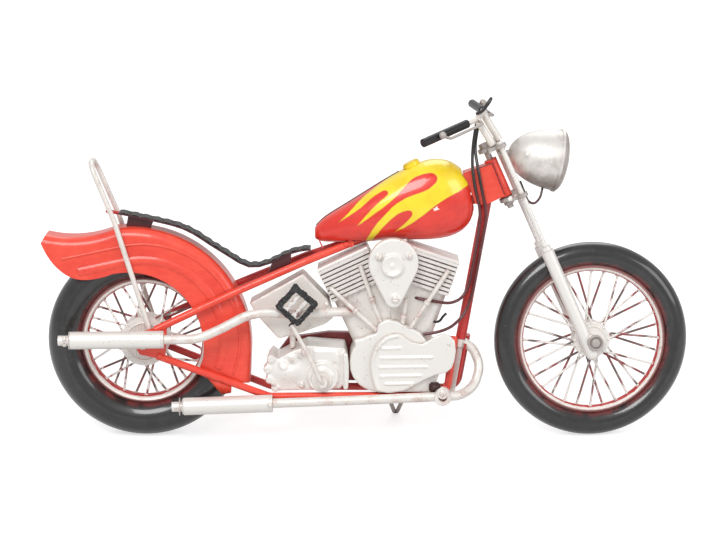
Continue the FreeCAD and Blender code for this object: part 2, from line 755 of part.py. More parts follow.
# Rear fender: a deep folded guard with an upswept tail
FENDER_TAIL = [by_wheel(131.79, 29.23), by_wheel(122.83, 16.97), by_wheel(103.37, 12.17)]
FENDER_ARCH = [FENDER_TAIL[2], by_wheel(51.49, 6.47), by_wheel(-2.94, 5.79)]
FENDER_FOOT = by_wheel(-21.66, 9.66)
FENDER_INSIDE = [
    by_wheel(135.18, 27.61), by_wheel(137.47, 18.34), by_wheel(138.58, 7.37),
    by_wheel(136.47, -2.57), by_wheel(128.82, -9.93), by_wheel(114.1, -13.72),
]
FENDER_INNER_ARCH = [FENDER_INSIDE[-1], by_wheel(45.11, -22.81), by_wheel(-16.18, -22.81)]
FENDER_HEEL = [by_wheel(-30.14, -22.46), by_wheel(-30.43, -16.08)]
BELOW_FENDER = [by_wheel(-93.72, -21.92), by_wheel(-179.69, 32)]


def arc(places):
    return Part.Arc(*places).toShape()


def fender_solid(name, sheet_inset):
    """The fender's outline in thickness; an inset one is what the sheet leaves free."""
    half = number("FenderHalf") - sheet_inset
    if sheet_inset:
        middle = REAR_AXLE + Vector(-8.5, 0, 1.5)

        def inset(place, towards=middle):
            return place + (towards - place).normalize() * sheet_inset

        tail = [inset(place, place - Vector(0, 0, 9)) for place in FENDER_TAIL[:2]]
        tail.append(inset(FENDER_TAIL[2]))
        arch = [tail[2], inset(FENDER_ARCH[1]), inset(FENDER_ARCH[2])]
        foot = FENDER_FOOT + Vector(-sheet_inset, 0, 0)
        outer = [arc(tail), arc(arch), line(arch[2], foot)]
        behind = Vector(BELOW_FENDER[1].x, 0, tail[0].z + 3)
        beyond = [foot, foot - Vector(0, 0, 12)] + BELOW_FENDER + [behind, tail[0]]
        outer += [line(a, b) for a, b in zip(beyond, beyond[1:])]
    else:
        outer = [arc(FENDER_TAIL), arc(FENDER_ARCH), line(FENDER_ARCH[2], FENDER_FOOT)]
        outer += [line(FENDER_TAIL[0], FENDER_INSIDE[0])]
        inside = Part.BSplineCurve()
        inside.interpolate(FENDER_INSIDE)
        outer += [inside.toShape()]
        outer += [arc(FENDER_INNER_ARCH)]
        heel = [FENDER_INNER_ARCH[2]] + FENDER_HEEL + [FENDER_FOOT]
        outer += [line(a, b) for a, b in zip(heel, heel[1:])]
    face = Part.Face(Part.Wire(Part.__sortEdges__(outer)))
    shape = face.extrude(LEFT * 2 * half)
    shape.translate(LEFT * -half)
    shoulder = []
    for edge in shape.Edges:
        box = edge.BoundBox
        flat = abs(abs(box.YMin) - half) < 1e-3 and abs(box.YMax - box.YMin) < 1e-3
        along = any(edge.distToShape(piece)[0] < half + 1e-2 and
                    abs(edge.Length - piece.Length) < 1e-3 for piece in outer[:3])
        if flat and along:
            shoulder.append(edge)
    shape = shape.makeFillet(number("FenderEdge") - sheet_inset, shoulder)
    return computed(name, shape)


fender_outer = fender_solid("FenderOuter", 0)
fender_inner = fender_solid("FenderInner", number("FenderSheet"))
fender_sheet = cut("Fender", fender_outer, [fender_inner])
BEAD_START = -22
BEAD_TURN = 124


def fender_bead(name, hand, radius, width, tail):
    """A pressed bead on the fender's side, round the wheel and then straight to the rear."""
    middle = REAR_AXLE + point(0, f"{hand} * FenderHalf", 2.2)

    def bead_place(angle, out, proud):
        turn = math.radians(angle)
        away = Vector(math.cos(turn), 0, math.sin(turn))
        return middle + away * (radius + out) + LEFT * hand * proud

    def section(angle):
        low, crest, high = [
            bead_place(angle, out, proud)
            for out, proud in ((-width / 2, -0.4), (0, width * 0.07 + 0.4), (width / 2, -0.4))
        ]
        return Part.Face(Part.Wire([arc([low, crest, high]), line(high, low)]))

    curved = section(BEAD_START).revolve(middle, -LEFT, BEAD_TURN)
    turn = math.radians(BEAD_START + BEAD_TURN)
    straight = section(BEAD_START + BEAD_TURN).extrude(
        Vector(-math.sin(turn), 0, math.cos(turn)) * tail
    )
    return computed(name, curved.fuse(straight).removeSplitter())


wide_bead = number("RearTyreRadius - 11.5")
narrow_bead = number("RearTyreRadius - 1.3")
beads = [
    fender_bead(f"FenderBead{index}{hand}", hand, radius, width, tail)
    for index, (radius, width, tail) in enumerate([(wide_bead, 6.6, 30), (narrow_bead, 2, 38)])
    for hand in (-1, 1)
]
node("rear_fender", [fused("RearFender", [fender_sheet] + beads)])

# Sissy bar: one wire from the left axle plate over the top to the right one
leg_y = number("StaySpread - PlateThickness / 2 - SissyDiameter / 2")
sissy_points = [
    REAR_AXLE + Vector(5, -leg_y, 5.5),
    by_wheel(102.62, 16.87, 2 - leg_y),
    point("SissyTopX", "-SissyTopHalf", "SissyTopZ"),
    point("SissyTopX", "SissyTopHalf", "SissyTopZ"),
    by_wheel(102.62, 16.87, leg_y - 2),
    REAR_AXLE + Vector(5, leg_y, 5.5),
]
sissy = tube("SissyBar", sissy_points, "SissyDiameter / 2", largest=9)
node("sissy_bar", [sissy])

# Seat brackets: one on the fender, one on the stays
rear_corners = shifted(
    [(-11, 9.6), (4.5, 10.2), (6, 13.8), (-9.5, 17.2)], REAR_X, "2 * RearTyreRadius"
)
rear_bracket = plate("RearBracket", rear_corners, "3", "3")
front_corners = shifted([(-50.5, -18), (-37, -12.4), (-36.5, -6.5), (-48.5, -12.5)], "JoinX", "JoinZ")
front_bracket = plate("FrontBracket", front_corners, "SeatHalf - 0.4", "SeatHalf - 0.4")
node("seat_brackets", [cut("SeatBrackets", fused("BracketPair", [rear_bracket, front_bracket]),
                           [seat_pan, fender_outer])])


# Engine
def engine_point(tilt, reach, along=0, left=0):
    """A point of a cylinder, out from the crankshaft along its tilted axis."""
    angle = math.radians(number(tilt))
    up = Vector(math.sin(angle), 0, math.cos(angle))
    ahead = Vector(math.cos(angle), 0, -math.sin(angle))
    middle = point("CrankX", 0, "CrankZ")
    return middle + up * number(reach) + ahead * number(along) + LEFT * number(left)


case_outline = [
    ("CrankX - 20", "CrankZ + 4"),
    ("CrankX - 10", "CrankZ - 14.6"),
    ("CrankX + 24", "CrankZ - 14"),
    ("CrankX + 28", "CrankZ - 3"),
    ("CrankX + 28", "CrankZ + 13"),
    ("CrankX + 20", "CrankZ + 17.6"),
    ("CrankX + 16", "CrankZ + 23"),
    ("CrankX + 2.5", "CrankZ + 29.9"),
    ("CrankX - 3.7", "CrankZ + 31.3"),
    ("CrankX - 9.6", "CrankZ + 29.2"),
    ("CrankX - 12", "CrankZ + 20.5"),
    ("CrankX - 25", "CrankZ + 18.5"),
]
case_plate = plate("CasePlate", case_outline, "CaseHalf", "CaseHalf")
case_round = cylinder(
    "CaseRound", point("CrankX - 9.3", "-CaseHalf", "CrankZ + 4"), LEFT, "18.3", "2 * CaseHalf"
)
case_block = fused("CaseBlock", [case_plate, case_round])


def barrel(name, tilt):
    """A finned cylinder with its barrel, in the tilted frame of its own axis."""
    turn = Rotation(LEFT, number(tilt))
    block = doc.addObject("Part::Box", name + "Block")
    bind(
        block,
        Length="2 * FinHalfLength - 1.6",
        Width="2 * BarrelHalf",
        Height="FinStart + FinPitch * (FinCount - 1) + FinThickness - 16",
    )
    corner = engine_point(tilt, 16, "0.8 - FinHalfLength", "-BarrelHalf")
    block.Placement = Placement(corner, turn)
    softened = doc.addObject("Part::Fillet", name + "Barrel")
    softened.Base = block
    softened.Edges = [(index, 6, 6) for index in (1, 3, 5, 7)]
    pieces = [softened]
    for index in range(int(number("FinCount"))):
        fin = doc.addObject("Part::Box", f"{name}Fin{index}")
        bind(fin, Length="2 * FinHalfLength", Width="2 * FinHalfWidth", Height="FinThickness")
        corner = engine_point(
            tilt,
            f"FinStart + {index} * FinPitch",
            -number("FinHalfLength"),
            -number("FinHalfWidth"),
        )
        fin.Placement = Placement(corner, turn)
        pieces.append(fin)
    return fused(name + "Stack", pieces)


def rocker(name, tilt):
    cover = doc.addObject("Part::Box", name)
    bind(cover, Length="2 * FinHalfLength", Width="2 * FinHalfWidth", Height="RockerHeight")
    corner = engine_point(
        tilt,
        "FinStart + FinPitch * (FinCount - 1) + FinThickness",
        -number("FinHalfLength"),
        -number("FinHalfWidth"),
    )
    cover.Placement = Placement(corner, Rotation(LEFT, number(tilt)))
    softened = doc.addObject("Part::Fillet", name + "Soft")
    softened.Base = cover
    softened.Edges = [(index, 1.2, 1.2) for index in (2, 6, 10, 12)]
    return softened


node("crankcase", [cut("Crankcase", case_block, [down_assembly])])
front_stack = barrel("Front", "FrontTilt")
rear_stack = barrel("Rear", "RearTilt")
node("front_cylinder", [cut("FrontCylinder", front_stack, [case_block])])
node("rear_cylinder", [cut("RearCylinder", rear_stack, [case_block, front_stack])])
node("rocker_covers", [rocker("FrontRocker", "FrontTilt"), rocker("RearRocker", "RearTilt")])

# Cam cover on the right, with its long nose over the front
cover_points = [(3.2, 23), (-2.4, 22.4), (-6.8, 20.3), (-10.6, 16.6), (-13, 12), (-14.5, 6.6), (-14.6, 1),
                (-13.6, -6), (-10.7, -13.5), (-2.4, -14.4), (5.4, -13.2), (18, -6.3), (24.2, -3.4),
                (32.3, -1.3), (35.6, 1.6), (37, 5.7), (38, 12), (37.3, 18.6), (34, 21.8), (29.8, 23),
                (24.6, 20.8), (17.1, 16.3), (10.6, 17.6)]
cover_corners = shifted(cover_points, "CrankX", "CrankZ")
cam_cover = plate("CamPlate", cover_corners, "CaseHalf + CoverThickness", "-CaseHalf")
cover_face = -number("CaseHalf + CoverThickness")
BEAD = [(2.8, 21.6), (-5.8, 19.0), (-11.6, 11.4), (-13.2, 1.4), (-9.8, -12.6)]
bead_points = [
    Vector(number("CrankX") + x, cover_face, number("CrankZ") + z) for x, z in BEAD
]
bead_line = Part.BSplineCurve()
bead_line.interpolate(bead_points)
bead_wire = Part.Wire([bead_line.toShape()])
bead_ring = Part.Wire([Part.Circle(bead_points[0], bead_line.tangent(0)[0], 1.2).toShape()])
cam_bead = computed("CamBead", bead_wire.makePipeShell([bead_ring], True, False))
COVER_RIBS = [(13.7, -8, 4.4), (7.8, -8.6, 23.6), (1.9, -9, 20.5), (-3.7, -8.6, 16.8), (-8.6, -5.5, 11.8)]
ribs = [
    rod(
        f"CamRib{index}",
        point(f"CrankX + {back}", cover_face, f"CrankZ + {height}"),
        point(f"CrankX + {ahead}", cover_face, f"CrankZ + {height} + 0.4"),
        "0.8",
    )
    for index, (height, back, ahead) in enumerate(COVER_RIBS)
]
node("cam_cover", [fused("CamCover", [cam_cover, cam_bead] + ribs)])

# Pushrod tubes on the right face of the cylinders
rod_y = -number("FinHalfWidth + PushrodDiameter / 2 + 0.2")
# Each from the crankshaft: the top ahead and above, then the foot.
PUSHRODS = [(33.5, 62, 8, 23), (7.3, 44.4, 4.4, 24), (-39.6, 51.2, -10, 23.5), (-21, 65, -7, 25)]
push_pieces = []
for index, (top_x, top_z, foot_x, foot_z) in enumerate(PUSHRODS):
    top = point(f"CrankX + {top_x}", rod_y, f"CrankZ + {top_z}")
    foot = point(f"CrankX + {foot_x}", rod_y, f"CrankZ + {foot_z}")
    wire = rod(f"Pushrod{index}", foot, top, "PushrodDiameter / 2")
    middle = (top + foot) / 2
    ring_piece = cylinder(
        f"PushCollar{index}", middle, foot - top, "PushrodDiameter / 2 + 0.7", "2.2"
    )
    push_pieces.append(fused(f"PushrodTube{index}", [wire, ring_piece]))
node("pushrod_tubes", [cut("PushrodTubes", fused("Pushrods", push_pieces),
                           [case_block, front_stack, rear_stack])])

# Air cleaner: a flat teardrop on a short neck between the cylinders
cleaner_x, cleaner_z = number("CleanerX"), number("CleanerZ")
big, small = number("CleanerRadius"), number("CleanerTipRadius")
drop = cleaner_z - number("CleanerTipZ")
spread_angle = math.acos((big - small) / drop)


def teardrop(inset):
    """The cleaner's outline, two arcs joined by their common tangents."""
    across = math.sin(spread_angle)
    down = math.cos(spread_angle)
    tip = Vector(cleaner_x, 0, cleaner_z - drop)
    centre = Vector(cleaner_x, 0, cleaner_z)
    big_radius, small_radius = big - inset, small - inset
    sides = [Vector(hand * across, 0, -down) for hand in (-1, 1)]
    edges = [
        arc([centre + sides[0] * big_radius, centre + Vector(0, 0, big_radius),
             centre + sides[1] * big_radius]),
        line(centre + sides[1] * big_radius, tip + sides[1] * small_radius),
        arc([tip + sides[1] * small_radius, tip - Vector(0, 0, small_radius),
             tip + sides[0] * small_radius]),
        line(tip + sides[0] * small_radius, centre + sides[0] * big_radius),
    ]
    return Part.Face(Part.Wire(Part.__sortEdges__(edges)))


cleaner_shape = teardrop(0).extrude(LEFT * -number("CleanerThickness"))
cleaner_shape.translate(LEFT * -number("CleanerY"))
front_rim = [edge for edge in cleaner_shape.Edges
             if edge.BoundBox.YMax < -number("CleanerY + CleanerThickness") + 1e-3]
cleaner_shape = cleaner_shape.makeFillet(1.2, front_rim)
cleaner_plate = computed("CleanerPlate", cleaner_shape)
dish = cylinder(
    "CleanerDish",
    point("CleanerX", "-CleanerY - CleanerThickness - 1.4", "CleanerZ - 1.4"),
    LEFT,
    "CleanerRadius * 0.46",
    "1.4",
)
bolts = [
    cylinder(
        f"CleanerBolt{index}",
        point(f"CleanerX + {x}", "-CleanerY - CleanerThickness - 1.2", f"CleanerZ + {z}"),
        LEFT,
        radius,
        "1.2",
    )
    for index, (x, z, radius) in enumerate([(-9.2, 4.3, 1.5), (9.4, 4.9, 1.5), (1.1, -22, 2.6)])
]
intake = cylinder("Intake", point("CleanerX - 2.5", "-CleanerY", "CleanerZ - 15"), LEFT, "4.6",
                  "CleanerY - 2")
node("air_cleaner", [cut("AirCleaner", fused("CleanerSet", [cleaner_plate, dish, intake] + bolts),
                         [front_stack, rear_stack] + push_pieces)])

# Gearbox behind the engine, the silver oil tank above it and the cover on the left
gearbox_corners = [
    (-25.7, -0.6), (-24.2, 7.2), (-21.4, 10.4), (-17.8, 7.4), (-10.4, 11.6), (0.4, 15.8),
    (23.4, 14.2), (25.4, 7), (23.6, -2), (21.2, -11.6), (-19.7, -12.6),
]
hatch_corners = [(4.7, 5.5), (18.6, 5.5), (18.6, 12.6), (4.7, 12.6)]
gearbox = plate("GearboxBlock", shifted(gearbox_corners, "GearboxX", "GearboxZ"), "GearboxHalf",
                "CaseHalf")
hatch = plate("Hatch", shifted(hatch_corners, "GearboxX", "GearboxZ"), "GearboxHalf + 1",
              "-GearboxHalf")


def on_gearbox(ahead, up, out):
    """A place that far out from the gearbox's right face."""
    return point(f"GearboxX + {ahead}", f"-GearboxHalf - {out}", f"GearboxZ + {up}")


boss = cylinder("GearboxBoss", on_gearbox(10, -4, 1.6), LEFT, "6.4", "1.6")
screws = [
    cylinder(f"GearboxScrew{index}", on_gearbox(ahead, up, 1), LEFT, "1.5", "1")
    for index, (ahead, up) in enumerate([(-9.2, 7.2), (-4, 9.6), (-20.5, -8), (-3, -8.8)])
]
gear_set = cut("Gearbox", fused("GearboxSet", [gearbox, hatch, boss] + screws), [case_block])
node("gearbox", [gear_set])

oil_corners = [
    (-26.4, 4.6), (6.6, 23.2), (22.6, 6.5), (25.6, -4.5), (20.6, -8.5), (5.4, -14.1), (-8.5, -17.8),
    (-20.4, -4.6),
]
oil_block = plate("OilBlock", shifted(oil_corners, "OilTankX", "OilTankZ"), "OilTankHalf",
                  "OilTankHalf")
oil_feet = [
    cylinder(f"OilFoot{hand}", point("OilTankX", hand * 6, "GearboxZ + 9"), Vector(0, 0, 1), "1.8",
             "OilTankZ - GearboxZ - 21")
    for hand in (-1, 1)
]
oil_set = fused("OilTankSet", [oil_block] + oil_feet)
node("oil_tank", [cut("OilTank", oil_set, [rear_stack, gearbox])])

primary_corners = [
    (-66, 14), (-72, 6), (-71, -6), (-63, -12), (-37, -13.4), (-9, -13.8), (7, -13), (14, -6),
    (14, 6), (7, 14), (-15, 17), (-41, 17.5),
]
node("primary_cover", [plate("PrimaryCover", shifted(primary_corners, "CrankX", "CrankZ"),
                             "-CaseHalf", "CaseHalf + PrimaryThickness")])

# Kick starter: a wire lever with a square pedal
hub_place = on_gearbox(10, -6.4, 1.6)
kick_points = [
    hub_place - LEFT * 5,
    hub_place + Vector(-1.5, -8.4, 2),
    on_gearbox(1, 13, 12.5),
    on_gearbox(-9, 31.5, 13.5),
]
kick_hub = cylinder("KickHub", hub_place - LEFT * 6, LEFT, "3.1", "6")
kick_lever = tube("KickLever", kick_points, "KickWire / 2")
pedal_centre = on_gearbox(-5.4, 44.2, 13.5)
pedal_turn = Rotation(LEFT, 42)


def pedal_bar(name, x, z, length, height, depth):
    bar = doc.addObject("Part::Box", name)
    bind(bar, Length=length, Width=depth, Height=height)
    offset = pedal_turn.multVec(Vector(number(x), -number(depth) / 2, number(z)))
    bar.Placement = Placement(pedal_centre + offset, pedal_turn)
    return bar


pedal = [
    pedal_bar("PedalTop", "-PedalHalf", "PedalHalf - PedalRim", "2 * PedalHalf", "PedalRim", "4"),
    pedal_bar("PedalFoot", "-PedalHalf", "-PedalHalf", "2 * PedalHalf", "PedalRim", "4"),
    pedal_bar("PedalRear", "-PedalHalf", "-PedalHalf", "PedalRim", "2 * PedalHalf", "4"),
    pedal_bar("PedalFront", "PedalHalf - PedalRim", "-PedalHalf", "PedalRim", "2 * PedalHalf", "4"),
    pedal_bar("PedalBarHigh", "-PedalHalf", "2.2", "2 * PedalHalf", "1.6", "2.2"),
    pedal_bar("PedalBarLow", "-PedalHalf", "-3.8", "2 * PedalHalf", "1.6", "2.2"),
]
node("kick_starter", [fused("KickStarter", [kick_hub, kick_lever])])
node("kick_pedal", [cut("KickPedal", fused("PedalFrame", pedal), [kick_lever])])

# Exhaust: two pipes, each into a plain muffler on the right
upper_y, lower_y = -number("UpperMufflerY"), -number("LowerMufflerY")
upper_z, lower_z = number("UpperMufflerZ"), number("LowerMufflerZ")
upper_pipe = tube("UpperPipe", [
    Vector(-6, -8, 79), Vector(-21, -18, 80.6), Vector(-48, -22.6, 80.0), Vector(-62, -23.6, 81.6),
    Vector(-74, -24.8, 79.4), Vector(-91, -26.8, 70.6), Vector(-104, -29.6, upper_z),
    Vector(-126, upper_y, upper_z),
], "PipeDiameter / 2")
node("rear_exhaust_pipe", [cut("RearPipe", upper_pipe, [rear_stack] + push_pieces)])


def muffler(name, front, rear):
    """A tube with soft ends and a narrow tip, open at the back."""
    back = (rear - front).normalize()
    length = (rear - front).Length
    can = cylinder(name + "Can", front, back, "MufflerRadius", length)
    soft = doc.addObject("Part::Chamfer", name + "CanSoft")
    soft.Base = can
    soft.Edges = [(1, 1.4, 1.4), (3, 1.0, 1.0)]
    tip = cylinder(name + "Tip", rear - back * 2, back, "TipRadius", 8.5)
    bore = cylinder(name + "Bore", rear + back * 0.5, back, "TipRadius - 0.8", 8)
    return cut(name, fused(name + "Set", [soft, tip]), [bore])


upper_can = muffler("UpperMuffler", Vector(-124, upper_y, upper_z), Vector(-182, upper_y, upper_z - 0.6))
node("upper_muffler", [cut("UpperMufflerCut", upper_can, [upper_pipe])])
lower_can = muffler("LowerMuffler", Vector(-58, lower_y, lower_z + 2), Vector(-113.6, lower_y, lower_z))
front_pipe = tube("FrontPipe", [
    Vector(59.6, 0, 59), Vector(66.4, -0.4, 54.4), Vector(70.8, -3, 44), Vector(67, -10, 32.4),
    Vector(57.8, -17.4, 27.8), Vector(46.8, lower_y, 28.4),
], "PipeDiameter / 2")
long_pipe = tube("LongPipe", [
    Vector(46.8, lower_y, 28.4), Vector(5.3, lower_y, 26.4), Vector(-60, lower_y, lower_z + 2),
], "PipeDiameter / 2")
flange = cylinder("PipeFlange", Vector(46.8, lower_y - 4.4, 28.6), LEFT, "5.2", "8.6")
flange_bore = cylinder("PipeFlangeBore", Vector(46.8, lower_y - 5, 28.6), LEFT, "2.6", "3.4")
front_set = cut("FrontPipeSet", fused("FrontPipes", [front_pipe, long_pipe, flange]),
                [flange_bore, case_block, down_assembly, right_rod, left_rod])
node("front_exhaust_pipe", [front_set])
node("lower_muffler", [cut("LowerMufflerCut", lower_can, [long_pipe])])

# Side stand on its hinge below the left rail
pivot = point("StandX", "StandPivotY", "StandPivotZ")
foot = point("StandX", "StandFootY", 0)
lean_tangent = math.tan(math.radians(number("LeanAngle")))
foot.z = (
    foot.y * lean_tangent
    + (number("StandWire") / 2 - tyre_sink) / math.cos(math.radians(number("LeanAngle")))
)
stand_pin = cylinder(
    "StandPinRod",
    pivot - Vector(number("StandSpread / 2 + 3"), 0, 0),
    Vector(1, 0, 0),
    "StandPin / 2",
    "StandSpread + 6",
)
lugs = []
for hand in (-1, 1):
    x = f"StandX + {hand} * (StandSpread / 2 + 2.1) - 0.6"
    lug = doc.addObject("Part::Box", f"StandLug{hand}")
    bind(lug, Length=1.2, Width=4.4, Height="CradleZ - StandPivotZ + 1")
    lug.Placement = Placement(point(x, "StandPivotY - 2.2", "StandPivotZ - 1"), Rotation())
    eye = cylinder(f"StandEye{hand}", point(x, "StandPivotY", "StandPivotZ"), Vector(1, 0, 0), "2.2", "1.2")
    lugs += [lug, eye]
node("stand_lug", [cut("StandLugs", fused("StandHolder", [stand_pin] + lugs), [left_cradle])])
barrel_eye = cylinder(
    "StandBarrel",
    pivot - Vector(number("StandSpread / 2 + 1.3"), 0, 0),
    Vector(1, 0, 0),
    "StandPin / 2 + 1",
    "StandSpread + 2.6",
)
barrel_bore = cylinder(
    "StandBarrelBore",
    pivot - Vector(number("StandSpread / 2 + 5"), 0, 0),
    Vector(1, 0, 0),
    "StandPin / 2 + RunningGap",
    "StandSpread + 10",
)
half_spread = Vector(number("StandSpread / 2"), 0, 0)
legs = tube("StandLegs", [
    pivot + half_spread, foot + half_spread * 0.22, foot - half_spread * 0.22, pivot - half_spread,
], "StandWire / 2")
stand = cut("Stand", fused("StandWireAndEye", [barrel_eye, legs]), [barrel_bore])
node("side_stand", [stand])

# Steering stem, clamps and fork legs
stem = cylinder("Stem", fork_point("UpperClampAt - 3", 0), STEER_DOWN, "StemDiameter / 2",
                "LowerClampAt - UpperClampAt + 9")


def hexagon(name, place, axis, across, height):
    prism = doc.addObject("Part::Prism", name)
    prism.Polygon = 6
    bind(prism, Circumradius=across, Height=height)
    prism.Placement = Placement(place, Rotation(Vector(0, 0, 1), axis))
    return prism


stem_head = hexagon("StemHead", fork_point("UpperClampAt - ClampThickness / 2 - 3", 0), STEER_DOWN,
                    "StemDiameter * 0.85", "3")
stem_tip = hexagon("StemNut", fork_point("LowerClampAt + ClampThickness / 2", 0), STEER_DOWN,
                   "StemDiameter * 0.8", "2.6")
stem_set = fused("SteeringStem", [stem, stem_head, stem_tip])
node("steering_stem", [stem_set], STEERED)


def clamp(name, at):
    """A flat yoke across both fork tubes, square to the steering axis."""
    ears = [
        cylinder(f"{name}Ear{hand}", fork_point(f"{at} - ClampThickness / 2", "ForkOffset",
                                                hand * number("ForkHalfWidth")),
                 STEER_DOWN, "ClampEar", "ClampThickness")
        for hand in (-1, 1)
    ]
    middle = cylinder(name + "Middle", fork_point(f"{at} - ClampThickness / 2", 0), STEER_DOWN,
                      "StemDiameter / 2 + 3", "ClampThickness")
    bar = doc.addObject("Part::Box", name + "Bar")
    bind(bar, Length="ForkOffset + ClampEar * 0.6", Width="2 * ForkHalfWidth", Height="ClampThickness")
    corner = fork_point(f"{at} + ClampThickness / 2", "0", "-ForkHalfWidth")
    bar.Placement = Placement(corner, Rotation(LEFT, -number("Rake")))
    return fused(name, ears + [middle, bar])


fork_rods = []
for side, hand in (("Right", -1), ("Left", 1)):
    left = hand * number("ForkHalfWidth")
    start = fork_point("UpperClampAt - ClampThickness / 2 - 1.6", "ForkOffset", left)
    fork_rod = cylinder(
        side + "ForkTube", start, STEER_DOWN, "ForkTubeDiameter / 2",
        "SliderTop + 8 - UpperClampAt + ClampThickness / 2 + 1.6",
    )
    fork_rods.append(fork_rod)
yokes = fused("Yokes", [clamp("UpperYoke", "UpperClampAt"), clamp("LowerYoke", "LowerClampAt")])
node("fork_yokes", [cut("ForkYokes", yokes, [stem_set] + fork_rods)], STEERED)

axle_half = number("ForkHalfWidth + SliderDiameter / 2 + 2.6")
front_bar = cylinder("FrontAxleBar", FRONT_AXLE - LEFT * axle_half, LEFT, "AxleDiameter / 2",
                     "2 * (ForkHalfWidth + SliderDiameter / 2 + 2.6)")
front_nuts = [
    nut("FrontNutLeft", FRONT_AXLE + LEFT * (axle_half - 2.6), "AxleDiameter * 0.95", "2.2"),
    nut("FrontNutRight", FRONT_AXLE - LEFT * (axle_half - 0.4), "AxleDiameter * 0.95", "2.2"),
]
front_axle = fused("FrontAxle", [front_bar] + front_nuts)
node("front_axle", [front_axle], STEERED)
node("fork_tubes", fork_rods, STEERED)

for side, hand in (("Right", -1), ("Left", 1)):
    left = hand * number("ForkHalfWidth")
    start = fork_point("SliderTop", "ForkOffset", left)
    slider_length = AXLE_DOWN + number("SliderTail") - number("SliderTop")
    slider = cylinder(side + "Slider", start, STEER_DOWN, "SliderDiameter / 2", slider_length)
    tail = ball(side + "SliderTail", fork_point(AXLE_DOWN + number("SliderTail"), "ForkOffset", left),
                "SliderDiameter / 2")
    collar_ring = cylinder(side + "SliderCollar", fork_point("SliderTop - 3", "ForkOffset", left),
                           STEER_DOWN, "SliderDiameter / 2 - 0.9", "3")
    lug = cylinder(side + "AxleLug",
                   FRONT_AXLE + LEFT * (left - number("SliderDiameter / 2")), LEFT,
                   "AxleDiameter / 2 + 2.2", "SliderDiameter")
    slider_set = fused(side + "SliderSet", [slider, tail, collar_ring, lug])
    node(f"fork_slider_{side.lower()}",
         [cut(side + "SliderCut", slider_set, [fork_rods[0 if hand < 0 else 1], front_axle])], STEERED)

# Handlebar, grips and levers, drawn straight and then turned askew on the clamp
ASKEW = STEERED * about(HEAD, STEER_DOWN, -number("BarTwist"))
riser_foot = fork_point("UpperClampAt - ClampThickness / 2", "ForkOffset")
riser_angle = math.radians(number("RiserBack"))
riser_up = Vector(-math.sin(riser_angle), 0, math.cos(riser_angle))
bar_centre = riser_foot + riser_up * number("RiserLength")
riser_half = number("RiserHalf")
risers = [
    rod(f"Riser{hand}", riser_foot + LEFT * hand * riser_half + riser_up * 0.35,
        bar_centre + LEFT * hand * riser_half + riser_up * 1.4, "RiserDiameter / 2")
    for hand in (-1, 1)
]


def bar_point(hand, share):
    """A point of the bar's arm, from its bend to its end."""
    start = bar_centre + LEFT * hand * number("BarHalf")
    arm = point("-GripBack", hand * number("GripOut"), "-GripDown")
    return start + arm * share


bar_wire = tube("BarWire", [bar_point(-1, 1), bar_point(-1, 0), bar_point(1, 0), bar_point(1, 1)],
                "BarDiameter / 2", largest=6)
handlebar = fused("Handlebar", risers + [bar_wire])
node("handlebar", [handlebar], ASKEW)
for side, hand in (("Right", -1), ("Left", 1)):
    start, end = bar_point(hand, number("GripStart")), bar_point(hand, 1.02)
    grip = rod(side + "Grip", start, end, "GripDiameter / 2")
    node(f"grip_{side.lower()}", [cut(side + "GripCut", grip, [bar_wire])], ASKEW)

levers = []
for side, hand in (("Right", -1), ("Left", 1)):
    offset = Vector(5.6, 0, -1.8)
    path = [
        bar_centre + LEFT * hand * (riser_half + 1) + Vector(1, 0, -1),
        bar_point(hand, 0) + offset,
        bar_point(hand, 0.3) + offset,
        bar_point(hand, 0.68) + offset * 1.05,
        bar_point(hand, 0.80) + Vector(5.3, 0, 2.1),
    ]
    lever = tube(side + "Lever", path, "LeverDiameter / 2")
    knob = ball(side + "LeverBall", path[-1], "LeverBall / 2")
    levers.append(fused(side + "LeverSet", [lever, knob]))
node("hand_levers", [cut("HandLevers", fused("LeverPair", levers), [handlebar])], ASKEW)

# Headlamp: a bullet shell on a stalk between the fork tubes
dip = math.radians(number("LampDip"))
lamp_ahead = Vector(math.cos(dip), 0, -math.sin(dip))
lamp_centre = point("LampX", 0, "LampZ")
lamp_turn = Rotation(LEFT, number("LampDip"))


def half_oval(depth, radius):
    """Outline of half a dome, from its rim to its pole, in the side plane."""
    places = []
    steps = 12
    for index in range(steps + 1):
        angle = math.pi / 2 * index / steps
        places.append(Vector(-depth * math.sin(angle), 0, radius * math.cos(angle)))
    curve = Part.BSplineCurve()
    curve.interpolate(places, InitialTangent=Vector(-1, 0, 0), FinalTangent=Vector(0, 0, -1))
    return curve.toShape()


def dome(depth, radius, front):
    """A solid half egg with its flat side ahead, or the other way round."""
    curve = half_oval(depth, radius)
    edges = [curve, line(Vector(-depth, 0, 0), Vector()), line(Vector(), Vector(0, 0, radius))]
    shape = Part.Face(Part.Wire(Part.__sortEdges__(edges))).revolve(Vector(), Vector(1, 0, 0), 360)
    if front:
        shape = shape.mirror(Vector(), Vector(1, 0, 0))
    shape.Placement = Placement(lamp_centre, lamp_turn)
    return shape


